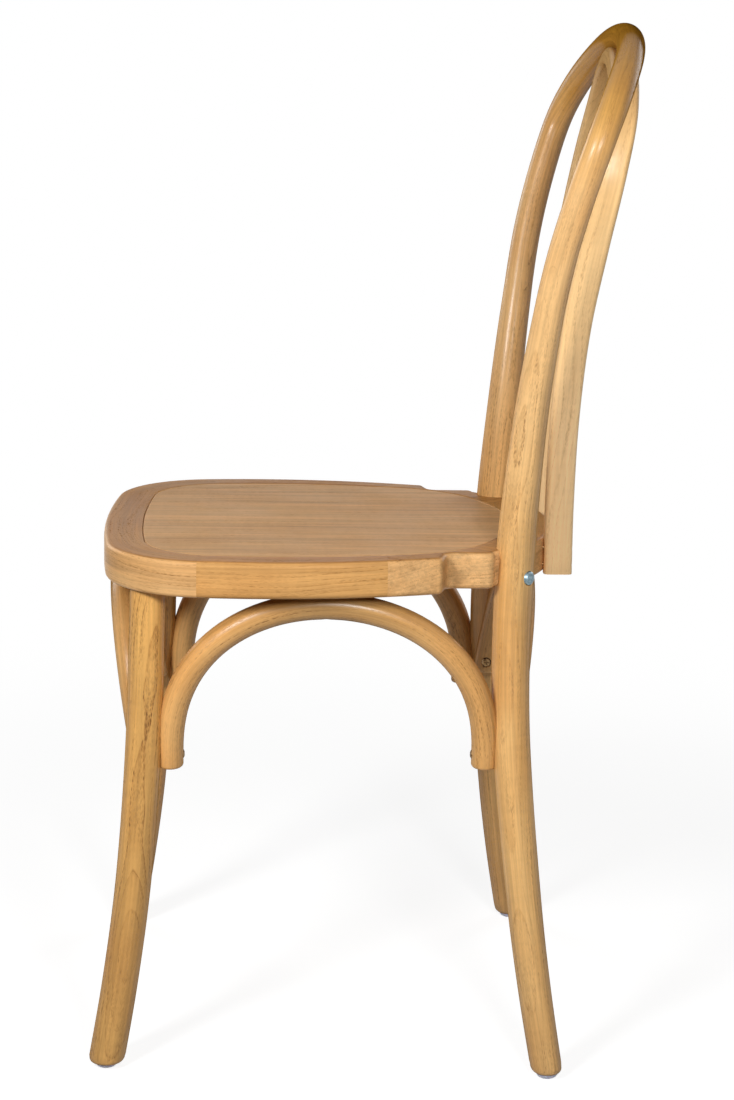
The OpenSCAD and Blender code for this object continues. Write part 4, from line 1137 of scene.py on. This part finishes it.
def edgeNormals(points, closed=False):
    # Unit vectors to the left of the way along a plan line
    out = []
    n = len(points)
    for i in range(n):
        a = points[(i - 1) % n] if closed else points[max(i - 1, 0)]
        b = points[(i + 1) % n] if closed else points[min(i + 1, n - 1)]
        dx, dy = b[0] - a[0], b[1] - a[1]
        d = math.hypot(dx, dy)
        out.append((-dy / d, dx / d))
    return out


def railSection(steps=7):
    # Rows of (inwards from the outer or inner plan line, height over the underside)
    r, s, t = seat["edge"], seat["smallEdge"], seat["thick"]
    slope = s * seat["bevel"]
    outer = [(r * (1 - sinA), t - r * (1 - cosA)) for sinA, cosA in quarter(steps)]
    outer += [(r * (1 - cosA), r * (1 - sinA)) for sinA, cosA in quarter(steps)]
    ledgeZ = t - seat["panel"]
    inner = [
        (seat["ledge"] - s, 0), (seat["ledge"], s), (seat["ledge"], ledgeZ), (0, ledgeZ), (0, t - s),
        (-slope, t - slope), (-s, t)]
    return outer, inner


def planRow(form, line, normals, distance, height):
    return [
        form.verts.new(fromMm((p[0] + n[0] * distance, p[1] + n[1] * distance, frameBase + height)))
        for p, n in zip(line, normals)]


def skinRows(form, rows):
    for b, a in zip(rows, rows[1:]):
        for i in range(len(a) - 1):
            form.faces.new((a[i], a[i + 1], b[i + 1], b[i]))


def railSolid(name, outerLine, innerLine, across):
    # A rail between two plan lines; across is how many strips its top and underside have
    form = bmesh.new()
    sides = []
    for line, section in zip((outerLine, innerLine), railSection()):
        normals = edgeNormals(line)
        sides.append([planRow(form, line, normals, d, z) for d, z in section])
    for rows in sides:
        skinRows(form, rows)
    flats = []
    for first, last in ((sides[0][-1], sides[1][0]), (sides[1][-1], sides[0][0])):
        rows = [first]
        for k in range(1, across):
            rows.append([form.verts.new(a.co.lerp(b.co, k / across)) for a, b in zip(first, last)])
        rows.append(last)
        skinRows(form, rows)
        flats.append(rows)
    for end in (0, -1):
        form.faces.new([
            row[end] for rows, flat in zip(sides, flats) for row in rows + flat[1:-1]])
    bmesh.ops.triangulate(
        form, faces=[f for f in form.faces if len(f.verts) > 4], quad_method="BEAUTY",
        ngon_method="EAR_CLIP")
    piece = formObject(name, form)
    tidyNormals(piece.data, seat["sharp"])
    return piece


def makeFrontRail():
    outer, inner = (flipped(outline[key]) + outline[key][1:] for key in ("front", "innerFront"))
    piece = railSolid("seatFrontRail", outer, inner, 6)
    evenShading(piece)
    layGrain(piece, [(p[0], p[1], frameBase) for p in outer], (0, 0, 1), (0.03, 0.03, 15.3))
    dress(piece, frameMaterial, "seat_front_rail")


def makeSideRails():
    piece = railSolid("seatSideRailLeft", outline["side"], outline["innerSide"], 5)
    evenShading(piece)
    right = mirrorPiece(piece, "seatSideRailRight")
    path = [(p[0], p[1], frameBase) for p in outline["side"]]
    layGrain(piece, path, (0, 0, 1), (0.022, 0.034, 17.0))
    layGrain(right, mirroredPath(path), (0, 0, 1), (0.026, -0.05, 18.6))
    dress(piece, sideRailMaterial, "seat_side_rail_left")
    dress(right, sideRailMaterial, "seat_side_rail_right")


def lengthAlong(line):
    return np.concatenate([[0], np.cumsum(np.linalg.norm(np.diff(line, axis=0), axis=1))])


def resampled(line, guide):
    # Points on a plan line at the shares of its length at which the guide's points stand
    line = np.array(line)
    before, given = lengthAlong(line), lengthAlong(np.array(guide))
    at = given / given[-1] * before[-1]
    return list(zip(np.interp(at, before, line[:, 0]), np.interp(at, before, line[:, 1])))


def legPocket(path):
    return legCutter(path, hoopRadius, frameBase - seat["past"], seat["top"] + seat["past"])


def makeCornerBlocks():
    inner = resampled(outline["innerBlock"], outline["block"])
    piece = railSolid("seatCornerLeft", outline["block"], inner, 5)
    carve(piece, [legPocket(hoopRise)])
    tidyNormals(piece.data, seat["sharp"])
    evenShading(piece)
    right = mirrorPiece(piece, "seatCornerRight")
    laySawnGrain(piece, (0.62, 0.78, 0.05), (0.78, -0.62, 0), (-0.03, 0.052, 20.2))
    laySawnGrain(right, (-0.55, 0.83, 0.05), (0.83, 0.55, 0), (0.03, 0.047, 21.8))
    dress(piece, frameMaterial, "seat_corner_left")
    dress(right, frameMaterial, "seat_corner_right")


def makeRearRail():
    outer, inner = (outline[key] + flipped(outline[key])[1:] for key in ("rear", "innerRear"))
    piece = railSolid("seatRearRail", outer, inner, 5)
    cutters = [legPocket(hoopRise), legPocket(mirroredPath(hoopRise))]
    half = strip["thick"] / 2 + strip["room"]
    for s in (1, -1):
        x = s * strip["footWidth"] / 2
        low = (x - half, seatRear - strip["seatIn"] - strip["room"], frameBase - strip["past"])
        cutters.append(blockAt(low, (x + half, seatRear + strip["behind"], seat["top"] + strip["past"])))
    carve(piece, cutters)
    tidyNormals(piece.data, seat["sharp"])
    evenShading(piece)
    laySawnGrain(piece, (1, 0, 0), (0, 1, 0), (-0.16, 0.06, 23.4))
    dress(piece, frameMaterial, "seat_rear_rail")


def makePanel():
    half = outline["innerFront"]
    for key in ("innerSide", "innerBlock", "innerRear"):
        half = half + outline[key][1:]
    line = (half + flipped(half)[1:])[:-1]
    normals = edgeNormals(line, True)
    gap, small, top = seat["panelGap"], seat["smallEdge"], seat["thick"]
    slope = small * seat["bevel"]
    rows = [(gap, top - seat["panel"]), (gap, top - small), (gap + slope, top - slope), (gap + small, top)]
    form = bmesh.new()
    loops = [planRow(form, line, normals, d, z) for d, z in rows]
    count = len(line)
    for a, b in zip(loops, loops[1:]):
        for i in range(count):
            form.faces.new((a[i], a[(i + 1) % count], b[(i + 1) % count], b[i]))
    form.faces.new(loops[-1])
    form.faces.new(loops[0][::-1])
    piece = formObject("seatPanel", form)
    tidyNormals(piece.data, seat["sharp"])
    evenShading(piece)
    laySawnGrain(piece, (0, 1, 0), (1, 0, 0), (0.3, 0.05, 25.3))
    dress(piece, panelMaterial, "seat_panel")


makeFrontRail()
makeSideRails()
makeCornerBlocks()
makeRearRail()
makePanel()
print("seat made")


# Fasteners, glides and dowels keep their frame parts and get their finishes
finishes = (
    (zincMaterial, ("hoop_bolt_left", "hoop_bolt_right", "hoop_washers", "hoop_nuts")),
    (bronzeMaterial, ("arch_end_screws", "arch_top_screws", "inner_hoop_screws",
    "crown_screw", "panel_screws")),
    (dowelMaterial, ("frame_dowels",)),
    (glideMaterial, ("glide_front_left", "glide_front_right", "glide_rear_left", "glide_rear_right")))
for material, nodeNames in finishes:
    for nodeName in nodeNames:
        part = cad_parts[nodeName]
        part.data.materials.clear()
        part.data.materials.append(material)
print("fasteners finished")


# Studio: pale floor that reads white to the camera, and soft lamps
studio = dict(
    floorSize=24, floorTone=0.4, near=0.55, far=1.5, floorGlow=0.83, floorShade=0.3, ambient=0.02,
    lamps=[
        dict(name="rightLamp", place=(1.65, 0.3, 1.1), aim=(0, 0, 0.5), size=0.35, power=14.5),
        dict(name="leftLamp", place=(1.3, -0.9, 1.25), aim=(0, 0, 0.5), size=0.4, power=20),
        dict(name="farFrontLamp", place=(-2.1, -1.7, 1.4), aim=(0, 0, 0.5), size=1.3, power=17),
        dict(name="farRearLamp", place=(-2.1, 1.7, 1.3), aim=(0, 0, 0.5), size=1.3, power=17)])


def seenDirectly(tree):
    # 1 for what the camera, a reflection or clear matter sees, 0 for the light that lands on the object
    rays = tree.nodes.new("ShaderNodeLightPath").outputs
    direct = math2(tree, "ADD", rays["Is Camera Ray"], rays["Is Glossy Ray"], True)
    return math2(tree, "ADD", direct, rays["Is Transmission Ray"], True)


def mixShaders(tree, factor, a, b):
    node = addNode(tree, "ShaderNodeMixShader", in_Fac=factor)
    feed(tree, node.inputs[1], a)
    feed(tree, node.inputs[2], b)
    return node.outputs[0]


def makeFloor():
    form = bmesh.new()
    bmesh.ops.create_grid(form, x_segments=24, y_segments=24, size=studio["floorSize"] / 2)
    floor = formObject("studioFloor", form)
    material, tree = newMaterial("paleFloor")
    paint, thin = (
        addNode(tree, "ShaderNodeBsdfDiffuse", in_Color=(studio[key],) * 3).outputs[0]
        for key in ("floorTone", "floorShade"))
    glow, white = (
        addNode(tree, "ShaderNodeEmission", in_Color=(1, 1, 1), in_Strength=strength).outputs[0]
        for strength in (studio["floorGlow"], 1.0))
    seen = tree.nodes.new("ShaderNodeAddShader")
    feed(tree, seen.inputs[0], glow)
    feed(tree, seen.inputs[1], thin)
    place = tree.nodes.new("ShaderNodeTexCoord").outputs["Object"]
    away = vectorMath(tree, "LENGTH", vectorMath(tree, "MULTIPLY", place, (1, 1, 0)))
    fade = mixShaders(tree, between(tree, away, studio["near"], studio["far"]), seen.outputs[0], white)
    addNode(tree, "ShaderNodeOutputMaterial", in_Surface=mixShaders(tree, seenDirectly(tree), paint, fade))
    arrange(tree)
    floor.data.materials.append(material)


def makeWorld():
    world = bpy.data.worlds.new("studioAir")
    bpy.context.scene.world = world
    world.use_nodes = True
    tree = world.node_tree
    tree.nodes.clear()
    strength = between(tree, seenDirectly(tree), 0, 1, studio["ambient"], 1.0, False)
    air = addNode(
        tree, "ShaderNodeBackground", in_Color=(1, 1, 1), in_Strength=strength)
    addNode(tree, "ShaderNodeOutputWorld", in_Surface=air.outputs[0])
    arrange(tree)


def makeLamps():
    for spec in studio["lamps"]:
        data = bpy.data.lights.new(spec["name"], "AREA")
        data.shape = "DISK"
        data.size = spec["size"]
        data.energy = spec["power"]
        lamp = bpy.data.objects.new(spec["name"], data)
        lamp.location = spec["place"]
        way = Vector(spec["aim"]) - Vector(spec["place"])
        lamp.rotation_euler = way.to_track_quat("-Z", "Y").to_euler()
        bpy.context.collection.objects.link(lamp)


makeFloor()
makeWorld()
makeLamps()
bpy.context.scene.view_settings.view_transform = "Standard"
print("studio lit")
